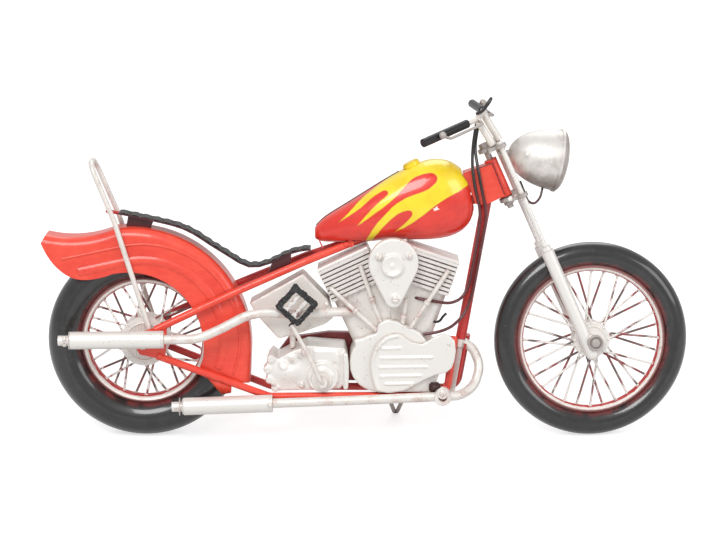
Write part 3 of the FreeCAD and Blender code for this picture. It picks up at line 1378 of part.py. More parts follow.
shell_outer = computed("LampOuter", dome(number("LampDepth"), number("LampRadius"), False))
shell_inner = computed(
    "LampInner", dome(number("LampDepth - LampWall"), number("LampRadius - LampWall"), False)
)
rim_ring = cylinder("LampRim", lamp_centre - lamp_ahead * 1.6, lamp_ahead, "LampRadius + 0.7", "1.6")
shell = cut("LampShell", fused("LampBody", [shell_outer, rim_ring]), [shell_inner])
lens = computed("LampLens", dome(number("LensBulge"), number("LampRadius"), True))
stalk_at = number("UpperClampAt + 6.5")
stalk_bar = cylinder(
    "LampBar",
    fork_point(stalk_at, "ForkOffset", "-ForkHalfWidth"),
    LEFT,
    "1.5",
    "2 * ForkHalfWidth",
)
lamp_pole = lamp_centre - lamp_ahead * number("LampDepth")
stalk = rod("LampStalk", fork_point(stalk_at, "ForkOffset"), lamp_pole + lamp_ahead * 3, "2.2")
node("lamp_bracket", [cut("LampBracket", fused("LampHolder", [stalk_bar, stalk]),
                          [shell_outer] + fork_rods)], STEERED)
node("headlamp_shell", [shell], STEERED)
node("headlamp_lens", [lens], STEERED)

# From below the lamp's rim: ahead, to the left and up.
LEAD = [(-10.3, -2, 2.6), (-11.9, -4, -3.8), (-16.1, -6.5, -7.4), (-20.3, -9, -5.4), (-22.5, -10.6, -0.2)]
lead_points = [point(f"LampX + {x}", y, f"LampZ - LampRadius + {z}") for x, y, z in LEAD]
lead_points.append(fork_point(6, "ForkOffset + 2.2", "-ForkHalfWidth + 2"))
lead = tube("Lead", lead_points, "LeadDiameter / 2")
node("lamp_lead", [cut("LampLead", lead, [shell, fork_rods[0], yokes])], STEERED)

# A loop of cable at the bar's middle, and the control cables, held along the down tube
loop = tube("BarLoop", [
    bar_centre + Vector(0.4, 2.2, 2.2), bar_centre + Vector(3.4, 2.6, 6.6),
    bar_centre + Vector(7.4, 1.4, 12.2), bar_centre + Vector(6.6, -1.4, 9.4),
    bar_centre + Vector(2.6, -2.2, 3.8), bar_centre + Vector(-1.6, -2.6, 1.9),
], "CableDiameter / 2")
node("cable_loop", [cut("CableLoop", loop, [handlebar])], ASKEW)

CABLES = {
    "Clutch": [
        Vector(67.2, -4.0, 195.6), Vector(65.0, -5.4, 181.5), Vector(64.6, -8.2, 169.0),
        Vector(66.4, -9.4, 156.0), Vector(70.2, -8.6, 141.0), Vector(68.4, -4.8, 124.0),
        Vector(65.4, -4.4, 106.0), Vector(62.6, -5.0, 93.0), Vector(58.4, -6.8, 86.6),
        Vector(51.4, -11.0, 84.6), Vector(44.0, -11.6, 85.6), Vector(36.0, -11.6, 87.0),
        Vector(31.0, -10.6, 87.8), Vector(28.6, -7.0, 88.4),
    ],
    "Brake": [
        Vector(68.8, -1.2, 195.8), Vector(66.2, -3.0, 180.5), Vector(68.2, -8.4, 168.0),
        Vector(70.6, -8.9, 155.0), Vector(74.0, -7.6, 140.0), Vector(71.4, -4.8, 123.0),
        Vector(68.4, -4.5, 106.0), Vector(65.2, -4.5, 88.0), Vector(60.0, -7.0, 76.0),
        Vector(52.0, -11.4, 69.6), Vector(44.0, -12.4, 66.8), Vector(35.0, -12.0, 65.4),
    ],
}
cables = [tube(name + "Wire", points, "CableDiameter / 2") for name, points in CABLES.items()]
for name, cable in zip(CABLES, cables):
    holders = [down_assembly, cam_cover, case_block, front_stack]
    node(name.lower() + "_cable", [cut(name + "Cable", cable, holders)])

doc.recompute()

failed = [piece.Label for piece in doc.Objects if "Invalid" in piece.State or "Error" in piece.State]
if failed:
    raise RuntimeError(f"these objects failed: {failed}")
os.makedirs("parts", exist_ok=True)
for piece in nodes:
    shape = piece.Shape
    if shape.isNull() or not shape.isValid() or not shape.Solids:
        raise RuntimeError(f"{piece.Label} has no valid solid")
    shape.exportStep(f"parts/{piece.Label}.step")
    print(piece.Label, len(shape.Solids), round(shape.Volume, 1))
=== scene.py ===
# %% [markdown]
# # A tin and wire chopper
# This lesson dresses a small handmade motorcycle, cut from sheet tin, bent from wire, soldered and
# brushed with enamel. The rigid shapes come from a CAD model that is loaded first. Blender adds what
# makes it look real: the flames on the tank, the rolls of the seat, the solder and screws, and above all
# the paint.

# %% Load the model
import math

import bmesh
import bpy
import numpy
from mathutils import Matrix, Vector, noise
from mathutils.bvhtree import BVHTree


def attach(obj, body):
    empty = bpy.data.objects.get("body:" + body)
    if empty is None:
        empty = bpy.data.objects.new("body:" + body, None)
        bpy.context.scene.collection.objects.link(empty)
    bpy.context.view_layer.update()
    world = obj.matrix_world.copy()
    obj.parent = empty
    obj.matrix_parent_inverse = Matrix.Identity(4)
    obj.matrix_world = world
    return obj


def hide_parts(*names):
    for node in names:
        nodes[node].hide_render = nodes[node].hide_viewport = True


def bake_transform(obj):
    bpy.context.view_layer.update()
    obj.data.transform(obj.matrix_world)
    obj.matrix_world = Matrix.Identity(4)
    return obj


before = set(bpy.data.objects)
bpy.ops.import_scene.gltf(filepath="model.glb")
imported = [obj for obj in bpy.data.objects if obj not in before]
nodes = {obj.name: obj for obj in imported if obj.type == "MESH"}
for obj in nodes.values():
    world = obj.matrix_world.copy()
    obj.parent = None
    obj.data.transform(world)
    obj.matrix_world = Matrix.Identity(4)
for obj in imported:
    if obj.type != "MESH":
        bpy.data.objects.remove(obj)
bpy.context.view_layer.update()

# %% [markdown]
# ## Upright places
# The model leans on its side stand, which makes every place awkward to write down. So all places below
# are written for the upright bike, in millimetres: x forward, y to the rider's left, z up. One matrix
# leans such a place onto the stand, and a second one also turns it with the fork.

# %% Matrices from the upright bike to the room
MM = 0.001
LEAN = math.radians(-8.5)
RAKE = math.radians(24)
TURNED_LEFT = 5
HEAD = Vector((81, 0, 161.5))
# The middle of the standing bike's box goes to the origin. The lift keeps the leaning tyre on the floor.
SHIFT = (0.1, -27.7, 0.121)
UPRIGHT = (
    Matrix.Translation([part * MM for part in SHIFT])
    @ Matrix.Rotation(LEAN, 4, "X")
    @ Matrix.Scale(MM, 4)
)


def turned_about(place, axis, degrees):
    """A turn about an axis through a place, as a matrix."""
    turn = Matrix.Rotation(math.radians(degrees), 4, axis)
    return Matrix.Translation(place) @ turn @ Matrix.Translation(-Vector(place))


steer_down = Vector((math.sin(RAKE), 0, -math.cos(RAKE)))
STEERED = UPRIGHT @ turned_about(HEAD, steer_down, -TURNED_LEFT)
print("steering head stands at", list(STEERED @ HEAD))

# %% [markdown]
# ## The camera
# The picture was taken from the bike's right side with a long lens, a little above the bike's own
# middle. A long lens keeps both wheels the same size. The camera stands on a line that rises 18 degrees
# from the floor, and looks at the middle of the frame.

# %% Camera
LENS = 125.7
FILM_WIDTH = 36
DISTANCE = 1.55
ELEVATION = math.radians(18)
scene = bpy.context.scene
target = UPRIGHT @ Vector((-5.3, 0, 103.7))
camera_data = bpy.data.cameras.new("camera")
camera_data.lens = LENS
camera_data.sensor_width = FILM_WIDTH
camera_data.clip_start = 0.01
camera = bpy.data.objects.new("camera", camera_data)
scene.collection.objects.link(camera)
camera.location = target + Vector((0, -math.cos(ELEVATION), math.sin(ELEVATION))) * DISTANCE
camera.rotation_euler = (target - camera.location).to_track_quat("-Z", "Y").to_euler()
scene.camera = camera
scene.view_settings.view_transform = "Standard"
print("camera at", list(camera.location))

# %% [markdown]
# ## A language for paint
# Blender's materials are graphs of nodes. Written node by node they get long, so a small class wraps a
# node's output and gives it Python's operators: `1 - mask * 0.5` adds the Math nodes that work it out.
# Every other node comes from one method, `node`, which takes the node's type, its settings and the
# values of its sockets.

# %% Signals and finishes
class Signal:
    """A node's output that takes part in Python's arithmetic."""

    def __init__(self, finish, socket):
        self.finish = finish
        self.socket = socket

    def math(self, operation, *values):
        """A Math node on these values."""
        return self.finish.node("ShaderNodeMath", {"operation": operation}, list(values))

    def __add__(self, other):
        return self.math("ADD", self, other)

    def __radd__(self, other):
        return self.math("ADD", other, self)

    def __sub__(self, other):
        return self.math("SUBTRACT", self, other)

    def __rsub__(self, other):
        return self.math("SUBTRACT", other, self)

    def __mul__(self, other):
        return self.math("MULTIPLY", self, other)

    def __rmul__(self, other):
        return self.math("MULTIPLY", other, self)

    def __abs__(self):
        return self.math("ABSOLUTE", self)

    def power(self, exponent):
        """This value raised to a power."""
        return self.math("POWER", self, exponent)

    def sine(self):
        """The sine of this value, which is an angle in radians."""
        return self.math("SINE", self)

    def between(self, low, high):
        """0 below low, 1 above high, and a smooth rise between them."""
        settings = {"interpolation_type": "SMOOTHSTEP"}
        values = {"Value": self, "From Min": low, "From Max": high, "To Min": 0.0, "To Max": 1.0}
        return self.finish.node("ShaderNodeMapRange", settings, values)


class Finish:
    """A material, and the nodes that make it."""

    def __init__(self, name):
        self.material = bpy.data.materials.new(name)
        self.material.use_nodes = True
        self.tree = self.material.node_tree
        self.shader = self.tree.nodes["Principled BSDF"]

    def node(self, kind, settings, values, output=0):
        """Adds a node, sets it up, and gives back one of its outputs."""
        made = self.tree.nodes.new(kind)
        for name, value in settings.items():
            setattr(made, name, value)
        pairs = values.items() if isinstance(values, dict) else enumerate(values)
        for key, value in pairs:
            socket = made.inputs[key] if isinstance(key, int) else self.socket_of(made.inputs, key)
            self.feed(socket, value)
        outputs = [socket for socket in made.outputs if socket.enabled]
        found = outputs[output] if isinstance(output, int) else self.socket_of(outputs, output)
        return Signal(self, found)

    def socket_of(self, sockets, name):
        """The socket of that name that is in use."""
        return next(socket for socket in sockets if socket.enabled and socket.name == name)

    def feed(self, socket, value):
        """Links a signal to a socket, or sets the socket's own value."""
        if isinstance(value, Signal):
            self.tree.links.new(value.socket, socket)
        else:
            socket.default_value = value

    def set(self, **values):
        """Sets sockets of the shader: base_color for Base Color, and so on."""
        for name, value in values.items():
            self.feed(self.shader.inputs[name.replace("_", " ").title()], value)


print("a finish offers:", [name for name in vars(Finish) if not name.startswith("_")])

# %% [markdown]
# ## What every paint here needs
# All paints share a few measures. `place` is the point in upright millimetres, so that grain has the
# same size on every piece. `spots` is cloudy noise. `edge` finds sharp edges, where a brush leaves
# little paint and a cloth rubs it off: it compares the normal with one that is rounded over a small
# radius. On the enamels and the silver, the dark colour put on edges is also painted shade along the
# outlines. `hollow` finds tight corners, which the paints darken as painted shade.

# %% Measures for paint
def srgb(red, green, blue):
    """A screen colour, 0 to 255, as the linear colour that shaders use."""
    parts = [part / 255 for part in (red, green, blue)]
    linear = [part / 12.92 if part <= 0.04045 else ((part + 0.055) / 1.055) ** 2.4 for part in parts]
    return (*linear, 1.0)


def place(finish, held=UPRIGHT):
    """The point in millimetres on the upright bike, or on its unturned fork."""
    point = finish.node("ShaderNodeTexCoord", {}, {}, "Object")
    location, turn, scale = held.inverted().decompose()
    values = {"Vector": point, "Location": location, "Rotation": turn.to_euler(), "Scale": scale}
    return finish.node("ShaderNodeMapping", {"vector_type": "POINT"}, values)


def part_of(finish, vector, axis):
    """One coordinate of a vector: X, Y or Z."""
    return finish.node("ShaderNodeSeparateXYZ", {}, {"Vector": vector}, axis)


def painted_on(finish, name):
    """A number that was stored at each point of the mesh under that name."""
    return finish.node("ShaderNodeAttribute", {"attribute_name": name}, {}, "Fac")


def spots(finish, point, size, detail=3.0, stretch=(1, 1, 1)):
    """Cloudy noise from 0 to 1, with clouds of about that size in millimetres."""
    scaled = finish.node("ShaderNodeMapping", {}, {"Vector": point, "Scale": stretch})
    values = {"Vector": scaled, "Scale": 1 / size, "Detail": detail, "Roughness": 0.6}
    return finish.node("ShaderNodeTexNoise", {}, values)


def edge(finish, radius):
    """1 on sharp edges, 0 on open faces."""
    rounded = finish.node("ShaderNodeBevel", {"samples": 4}, {"Radius": radius * MM})
    flat = finish.node("ShaderNodeNewGeometry", {}, {}, "Normal")
    along = finish.node("ShaderNodeVectorMath", {"operation": "DOT_PRODUCT"}, [rounded, flat])
    return (1 - along).between(0.02, 0.25)


def hollow(finish, reach):
    """1 in tight corners, 0 in the open. Paints darken these corners as painted shade."""
    settings = {"samples": 4}
    openness = finish.node("ShaderNodeAmbientOcclusion", settings, {"Distance": reach * MM}, "AO")
    return (1 - openness).between(0.25, 0.9)


def blend(finish, amount, first, second):
    """One colour going over into another."""
    values = {"Factor": amount, "A": first, "B": second}
    return finish.node("ShaderNodeMix", {"data_type": "RGBA"}, values)


def bumps(finish, height, depth):
    """A bumpy surface: height from 0 to 1 is a depth in millimetres."""
    rounded = finish.node("ShaderNodeBevel", {"samples": 4}, {"Radius": 0.35 * MM})
    values = {"Height": height, "Strength": 1.0, "Distance": depth * MM, "Normal": rounded}
    return finish.node("ShaderNodeBump", {}, values)


print("one millimetre on the bike is", round(UPRIGHT.to_scale()[0], 6), "m in the room")

# %% [markdown]
# ## The enamels
# The red and yellow are brushed enamel: glossy and a bit uneven. Their edges are thin and darker,
# partly from wear and partly as painted shade along the outlines, and their corners get brown painted
# shade. One function makes any such enamel from its colour. The brush leaves long streaks, so one of the
# noises is stretched.

# %% Enamel
def enamel(name, colour, shade, mark_colour, shade_strip=None):
    """Brushed enamel of one colour, with its shade in thick spots and a darker colour on edges,
    which is partly wear and partly painted shade along the outlines.

    The last argument, if given, is a strip of painted shade along the left edge of the fender's crown,
    as its two distances to the left of the bike's middle plane.
    """
    finish = Finish(name)
    point = place(finish)
    clouds = spots(finish, point, 14)
    streaks = spots(finish, point, 1.6, stretch=(0.16, 1, 0.55))
    grain = spots(finish, point, 0.5)
    paint = blend(finish, (clouds * 0.7 + streaks * 0.5).between(0.35, 0.95), colour, shade)
    # Edges take the darker colour: partly wear, partly painted shade along the outlines.
    marks = edge(finish, 0.6) * (clouds * 0.6 + grain * 0.9).between(0.5, 0.8)
    # Painted shade: tight corners turn brown.
    corner_shade = hollow(finish, 4) * clouds.between(0.2, 0.7) * 0.75
    shaded = blend(finish, corner_shade, paint, srgb(70, 30, 24))
    # The fender's strip is painted shade along the left edge of its crown.
    if shade_strip:
        start, end = shade_strip
        across = part_of(finish, point, "Y") + (clouds - 0.5) * 1.5
        strip = across.between(start - 0.8, start + 0.8) * (1 - across.between(end - 0.5, end + 0.5))
        shaded = blend(finish, strip * 0.85, shaded, srgb(88, 26, 26))
    finish.set(
        base_color=blend(finish, marks * 0.8, shaded, mark_colour),
        roughness=0.32 + streaks * 0.16 + corner_shade * 0.3,
        coat_weight=0.5,
        coat_roughness=0.1,
        normal=bumps(finish, streaks * 0.6 + clouds * 1.2, 0.12),
    )
    return finish.material


RED = srgb(250, 84, 60)
DEEP_RED = srgb(230, 52, 38)
# The dark red of the edges, partly wear and partly painted shade along the outlines.
WORN_AND_SHADE_RED = srgb(110, 44, 36)
red_enamel = enamel("red_enamel", RED, DEEP_RED, WORN_AND_SHADE_RED)
# The fender gets a strip of painted shade along the left edge of its crown.
fender_enamel = enamel("fender_enamel", RED, DEEP_RED, WORN_AND_SHADE_RED, shade_strip=(9.0, 11.4))
# A darker red. On the left stay and left cradle it is painted shade, beside the red of the right ones.
crimson_and_shade_enamel = enamel("crimson_and_shade_enamel", srgb(214, 50, 44), srgb(172, 32, 32), srgb(84, 34, 32))
maroon_enamel = enamel("maroon_enamel", srgb(84, 18, 26), srgb(58, 12, 18), srgb(50, 24, 22))
# A red darkened as painted shade, for the primary cover on the left side and the lines along the neck's
# edges.
shaded_red_enamel = enamel("shaded_red_enamel", srgb(150, 34, 38), srgb(100, 20, 26), srgb(60, 26, 22))
yellow_enamel = enamel("yellow_enamel", srgb(255, 226, 32), srgb(244, 192, 20), srgb(140, 100, 40))
print("enamels:", red_enamel.name, shaded_red_enamel.name, yellow_enamel.name)

# %% [markdown]
# ## Silver paint
# Exhausts, engine, spokes and bars are brushed with silver paint, which is aluminium powder in varnish.
# It shines less than metal and more than white. Age has turned it pinkish brown in thin spots. The
# same pinkish brown fills the corners as painted shade, and the brown on its edges is partly wear and
# partly painted shade along the outlines. A partly metallic surface of middling roughness gives that
# soft sheen.

# %% Silver paint
def silver_paint(name, light, tarnish_and_shade, amount):
    """Silver paint whose stains spread by that amount, from 0 to 1."""
    finish = Finish(name)
    point = place(finish)
    clouds = spots(finish, point, 9, detail=5.0)
    flecks = spots(finish, point, 1.1, detail=4.0)
    stains = (clouds * 0.75 + flecks * 0.35).between(0.78 - 0.4 * amount, 1.02 - 0.3 * amount)
    # Painted shade: tight corners take the tarnish colour.
    corners = hollow(finish, 3.5)
    # Edges turn brown, partly from wear and partly as painted shade along the outlines.
    marks = edge(finish, 0.6) * flecks.between(0.3, 0.55)
    specks = spots(finish, point, 0.9, detail=1.0).between(0.66, 0.72) * clouds.between(0.5, 0.62)
    toned = blend(finish, stains * 0.55 + corners * 0.75, light, tarnish_and_shade)
    speckled = blend(finish, specks * 0.8, toned, srgb(138, 72, 62))
    finish.set(
        base_color=blend(finish, marks * 0.75, speckled, srgb(128, 96, 82)),
        metallic=0.3,
        roughness=0.42 + stains * 0.2 + corners * 0.15,
        normal=bumps(finish, flecks * 0.7 + clouds, 0.10),
    )
    return finish.material


bright_silver = silver_paint("bright_silver", srgb(242, 239, 234), srgb(168, 142, 130), 0.25)
warm_silver = silver_paint("warm_silver", srgb(237, 231, 225), srgb(168, 138, 125), 0.55)
# A duller, darker silver. On the stand and the lamp's lens its darkness is painted shade.
dull_and_shaded_silver = silver_paint("dull_and_shaded_silver", srgb(186, 178, 173), srgb(116, 88, 80), 0.6)
baked_silver = silver_paint("baked_silver", srgb(240, 236, 230), srgb(190, 132, 118), 0.75)
brown_silver = silver_paint("brown_silver", srgb(238, 233, 228), srgb(162, 140, 130), 0.6)
print("silvers:", bright_silver.name, warm_silver.name, dull_and_shaded_silver.name)

# %% [markdown]
# ## The lamp
# The lamp is spun sheet metal that was hardly painted, so it is darker and more metallic than the rest,
# with fine lines on it and an underside that is darkened as painted shade. Its lines are noise that
# hardly changes upwards, which stretches every spot into a line. Height, measured from the lamp's
# middle, finds the underside, which is also a little rougher.

# %% Lamp
LAMP_MIDDLE = (104.0, 3.0, 171.5)


def from_middle(finish, point, middle):
    """How far a point lies ahead of a place, to its left and above it."""
    away = finish.node("ShaderNodeVectorMath", {"operation": "SUBTRACT"}, [point, middle])
    return [part_of(finish, away, axis) for axis in "XYZ"]


def lamp_metal():
    """Spun sheet metal, with fine lines that run up and down, rougher below, and darkened below and in its
    corners as painted shade.
    """
    finish = Finish("lamp_metal")
    point = place(finish, STEERED)
    ahead, _, up = from_middle(finish, point, LAMP_MIDDLE)
    clouds = spots(finish, point, 7)
    lines = spots(finish, finish.node("ShaderNodeCombineXYZ", {}, [ahead, 0.0, up * 0.1]), 0.7, detail=4.0)
    # Painted shade: the underside is darkened, with a cloudy border.
    below = (clouds * 8 - up).between(5, 19)
    uneven = (lines * 0.25 + clouds * 0.8).between(0.4, 0.8)
    bright = blend(finish, uneven, srgb(236, 232, 227), srgb(204, 197, 190))
    finish.set(
        # The underside and the tight corners turn greyish brown as painted shade.
        base_color=blend(finish, below * 0.7 + hollow(finish, 3) * 0.3, bright, srgb(132, 116, 107)),
        metallic=0.6,
        roughness=0.43 + lines * 0.05 + below * 0.1,
        normal=bumps(finish, lines * 0.25 + clouds * 0.6, 0.06),
    )
    return finish.material


spun_metal = lamp_metal()
print("lamp wears", spun_metal.name)

# %% [markdown]
# ## Cables
# The cables are black near the bars and brown red lower down. Height decides between the two colours,
# and noise makes the border between them uneven. Pale streaks on them are painted highlights.

# %% Cables
def cable_paint():
    """Shiny black above and brown red below, with pale streaks that are painted highlights."""
    finish = Finish("cable_black")
    point = place(finish)
    clouds = spots(finish, point, 6)
    grain = spots(finish, point, 0.8, detail=4.0)
    lower = 1 - (part_of(finish, point, "Z") + (clouds - 0.5) * 16).between(142, 160)
    toned = blend(finish, lower * 0.85, srgb(30, 27, 28), srgb(98, 30, 34))
    # Painted highlights: pale streaks all over the cables.
    marks = (clouds * 0.6 + grain * 0.6).between(0.66, 0.8) * 0.5
    finish.set(
        base_color=blend(finish, marks, toned, srgb(150, 118, 112)),
        roughness=0.24 + grain * 0.14,
        coat_weight=0.6,
        coat_roughness=0.15,
        normal=bumps(finish, grain * 0.4 + clouds, 0.1),
    )
    return finish.material


cable_black = cable_paint()
print("cables wear", cable_black.name)

# %% [markdown]
# ## Black paint
# The grips and the seat are painted black. The paint is satin, and on its edges and in spots the
# reddish brown of the primer shows. The same paint in dark brown goes on the tank's seam, on a line of
# painted shade along the fender and on a small clamp.

# %% Black paint
def black_paint(name, colour, mark_colour, amount, gloss=0.36, shine=0.5):
    """Satin black paint, with the primer showing on its edges and in spots."""
    finish = Finish(name)
    point = place(finish)
    clouds = spots(finish, point, 8)
    grain = spots(finish, point, 0.8, detail=4.0)
    marks = (edge(finish, 0.5) + amount) * (clouds * 0.6 + grain * 0.6).between(0.62, 0.8)
    finish.set(
        base_color=blend(finish, marks * 0.75, colour, mark_colour),
        roughness=gloss + grain * 0.16 + marks * 0.2,
        coat_weight=0.3 * shine,
        normal=bumps(finish, grain * 0.4 + clouds, 0.12),
    )
    finish.feed(finish.shader.inputs["Specular IOR Level"], shine)
    return finish.material


black_enamel = black_paint("black_enamel", srgb(26, 25, 27), srgb(96, 60, 48), 0.05)
dark_brown = black_paint("dark_brown", srgb(62, 34, 32), srgb(110, 60, 54), 0.2)
print("blacks:", black_enamel.name, dark_brown.name)

# %% [markdown]
# ## Which node wears what
# A CAD node whose shape is right only needs its finish. A table names the nodes of each finish.

# %% Finishes of the CAD nodes
WORN_BY = [
    (red_enamel, "neck_and_backbone upper_stay_right cradle_right"),
    (fender_enamel, "rear_fender"),
    # The left stay and cradle wear the darker red as painted shade.
    (crimson_and_shade_enamel, "stand_lug down_tube upper_stay_left cradle_left"),
    # The primary cover's darker red is painted shade.
    (shaded_red_enamel, "primary_cover"),
    (maroon_enamel, "seat_brackets seat_pan"),
    (yellow_enamel, "fuel_cap"),
    (bright_silver, "fork_slider_right fork_slider_left fork_tubes upper_muffler lower_muffler"),
    (baked_silver, "rear_exhaust_pipe front_exhaust_pipe pushrod_tubes kick_starter"),
    (warm_silver, "sissy_bar handlebar front_axle rear_axle engine_mount_bar"),
    (brown_silver, "front_cylinder rear_cylinder rocker_covers"),
    # The stand's and the lens's darker silver is painted shade.
    (dull_and_shaded_silver, "hand_levers steering_stem fork_yokes lamp_bracket side_stand headlamp_lens"),
    (spun_metal, "headlamp_shell"),
    (black_enamel, "grip_right grip_left"),
    (cable_black, "clutch_cable brake_cable cable_loop lamp_lead"),
]


def wear(piece, material):
    """Gives a piece one material."""
    piece.data.materials.clear()
    piece.data.materials.append(material)


for material, worn_nodes in WORN_BY:
    for node_name in worn_nodes.split():
        wear(nodes[node_name], material)
dressed = " ".join(worn_nodes for _, worn_nodes in WORN_BY).split()
print("nodes that still need a finish or a new piece:", sorted(set(nodes) - set(dressed)))

# %% [markdown]
# ## Wheels
# The marks of brush and wear on a wheel run round its axle. So its finishes need three measures of their
# own: the distance from the axle, the turn about it, and the distance from the wheel's middle plane. They
# are worked out from the point on the wheel, so the paint turns with the wheel.

# %% Measures round a wheel
REAR_WHEEL = (-137.5, 0, 60.5)
FRONT_WHEEL = (139.54, 0, 60.5)


def round_a_wheel(finish, centre, held):
    """The point, its distance from the axle, its turn about it in radians, and how far left it lies."""
    point = place(finish, held)
    ahead, across, up = from_middle(finish, point, centre)
    radius = (ahead * ahead + up * up).power(0.5)
    return point, radius, ahead.math("ARCTAN2", ahead, up), across


print("axles are", round(FRONT_WHEEL[0] - REAR_WHEEL[0], 2), "mm apart")

# %% [markdown]
# ## Tyres
# The tyres are tin too, brushed black and glossier than rubber. Noise that is read at the distance from
# the axle and the turn about it runs in rings, as the brush did. Red paint of the rim stains the tyre's
# inner edge, the tread is rubbed, and nine fine grooves lie across it.

# %% Tyres
def tyre_paint(name, centre, held, seat_radius, tyre_radius):
    """Glossy black tin, brushed round the wheel, with a red stain where it meets the rim."""
    finish = Finish(name)
    point, radius, turn, across = round_a_wheel(finish, centre, held)
    clouds = spots(finish, point, 9)
    grain = spots(finish, point, 0.9, detail=4.0)
    rings = spots(finish, finish.node("ShaderNodeCombineXYZ", {}, [radius, turn * 3, across]), 1.3)
    grooves = abs((turn * 4.5).sine()).between(0.0, 0.02)
    brushed = (clouds * 0.6 + rings * 0.5).between(0.4, 0.8)
    black = blend(finish, brushed, srgb(13, 13, 15), srgb(36, 35, 38))
    near_rim = 1 - radius.between(seat_radius + 0.4, seat_radius + 3.2)
    stain = near_rim * clouds.between(0.34, 0.6) * 0.8
    marks = radius.between(tyre_radius - 2, tyre_radius + 0.5) * grain.between(0.55, 0.7) * 0.5
    bare_spots = (clouds * 0.6 + grain * 0.6).between(0.7, 0.84) * 0.4
    stained = blend(finish, stain, black, srgb(124, 38, 38))
    finish.set(
        base_color=blend(finish, marks + bare_spots, stained, srgb(112, 74, 66)),
        roughness=0.24 + rings * 0.14 + grain * 0.08,
        coat_weight=1.0,
        coat_roughness=0.1,
        normal=bumps(finish, rings * 0.7 + grain * 0.35 + clouds + grooves * 0.6, 0.13),
    )
    return finish.material


TYRE_RADIUS = 60.5
REAR_SEAT_RADIUS = 40
FRONT_SEAT_RADIUS = 46.6
rear_black = tyre_paint("rear_tyre_black", REAR_WHEEL, UPRIGHT, REAR_SEAT_RADIUS, TYRE_RADIUS)
front_black = tyre_paint("front_tyre_black", FRONT_WHEEL, STEERED, FRONT_SEAT_RADIUS, TYRE_RADIUS)
wear(nodes["rear_tyre"], rear_black)
wear(nodes["front_tyre"], front_black)
print("tyres wear", nodes["rear_tyre"].data.materials[0].name)

# %% [markdown]
# ## Rims
# The rims are silver on their lips, red in the channel between them, and brown red next to the tyre. The
# distance from the wheel's middle plane decides between silver and red, and the distance from the axle
# finds the band at the tyre. Noise on both keeps the borders brushed and not ruled.

# %% Rims
def rim_paint(name, centre, held, half_width, seat_radius):
    """Silver lips, red in the channel between them, and brown red next to the tyre."""
    finish = Finish(name)
    point, radius, _, across = round_a_wheel(finish, centre, held)
    clouds = spots(finish, point, 7)
    grain = spots(finish, point, 0.9, detail=4.0)
    reach = abs(across) + (clouds - 0.5) * 2.4 + (grain - 0.5) * 0.8
    red = 1 - reach.between(half_width * 0.62, half_width * 0.74)
    tarnished = (clouds * 0.5 + grain * 0.6).between(0.56, 0.86)
    silver = blend(finish, tarnished, srgb(242, 237, 231), srgb(182, 134, 124))
    by_tyre = (radius + (grain - 0.5) * 0.8).between(seat_radius - 2.5, seat_radius - 1.6) * 0.8
    paint = blend(finish, by_tyre, blend(finish, red, silver, srgb(196, 40, 38)), srgb(138, 44, 42))
    finish.set(
        # Tight corners darken as painted shade.
        base_color=blend(finish, hollow(finish, 2.0) * 0.6, paint, srgb(96, 44, 42)),
        metallic=0.2,
        roughness=0.38 + grain * 0.2,
        normal=bumps(finish, grain * 0.6 + clouds, 0.12),
    )
    return finish.material


REAR_RIM_WIDTH = 12.5
FRONT_RIM_WIDTH = 9.0
wear(nodes["rear_rim"],
     rim_paint("rear_rim_paint", REAR_WHEEL, UPRIGHT, REAR_RIM_WIDTH / 2, REAR_SEAT_RADIUS))
wear(nodes["front_rim"],
     rim_paint("front_rim_paint", FRONT_WHEEL, STEERED, FRONT_RIM_WIDTH / 2, FRONT_SEAT_RADIUS))
print("rims wear", nodes["rear_rim"].data.materials[0].name)

# %% [markdown]
# ## Hubs and spokes
# The hubs are silver, and each spoke has its own mix of silver, brown and red. A material for each spoke
# would be long. Noise that is read at the turn about the axle does the same in one material, because
# neighbouring spokes meet it at different places.

# %% Hubs and spokes
def spoke_paint(name, centre, held, flange_radius):
    """A silver hub, with spokes that are silver, brown or red, each in its own mix."""
    finish = Finish(name)
    point, radius, turn, across = round_a_wheel(finish, centre, held)
    clouds = spots(finish, point, 7)
    grain = spots(finish, point, 0.7, detail=4.0)
    spoke = radius.between(flange_radius, flange_radius + 0.8)
    by_turn = finish.node("ShaderNodeCombineXYZ", {}, [turn * 7, across * 0.9, radius * 0.02])
    mix = finish.node("ShaderNodeTexNoise", {}, {"Vector": by_turn, "Scale": 0.9, "Detail": 1.0})
    tarnished = (clouds * 0.5 + grain * 0.6).between(0.58, 0.92)
    silver = blend(finish, tarnished, srgb(243, 239, 234), srgb(168, 132, 122))
    dark = blend(finish, clouds.between(0.42, 0.6), srgb(150, 38, 42), srgb(94, 76, 72))
    # Spokes on the left of the wheel take the dark colours more often.
    painted = (mix + (grain - 0.5) * 0.3 + across.between(-1, 3) * 0.22).between(0.5, 0.62)
    finish.set(
        base_color=blend(finish, spoke * painted * 0.92, silver, dark),
        metallic=0.25,
        roughness=0.4 + grain * 0.2,
        normal=bumps(finish, grain + clouds, 0.12),
    )
    return finish.material


REAR_FLANGE_RADIUS = 15.2
FRONT_FLANGE_RADIUS = 11.2
wear(nodes["rear_hub"], spoke_paint("rear_spoke_paint", REAR_WHEEL, UPRIGHT, REAR_FLANGE_RADIUS))
wear(nodes["front_hub"], spoke_paint("front_spoke_paint", FRONT_WHEEL, STEERED, FRONT_FLANGE_RADIUS))
print("hubs wear", nodes["rear_hub"].data.materials[0].name)

# %% [markdown]
# ## Pieces made again from their CAD nodes
# The tank needs its flames, the seat and the kick pedal are thick with lumpy paint, and the castings have
# no sharp edge. A CAD mesh has long thin triangles, which can't be dented, softened or painted point by
# point. A voxel remesh makes a copy with small even faces. The copy keeps the node's place and is shown
# instead of it.

# %% Fine copies of nodes
shown = dict(nodes)


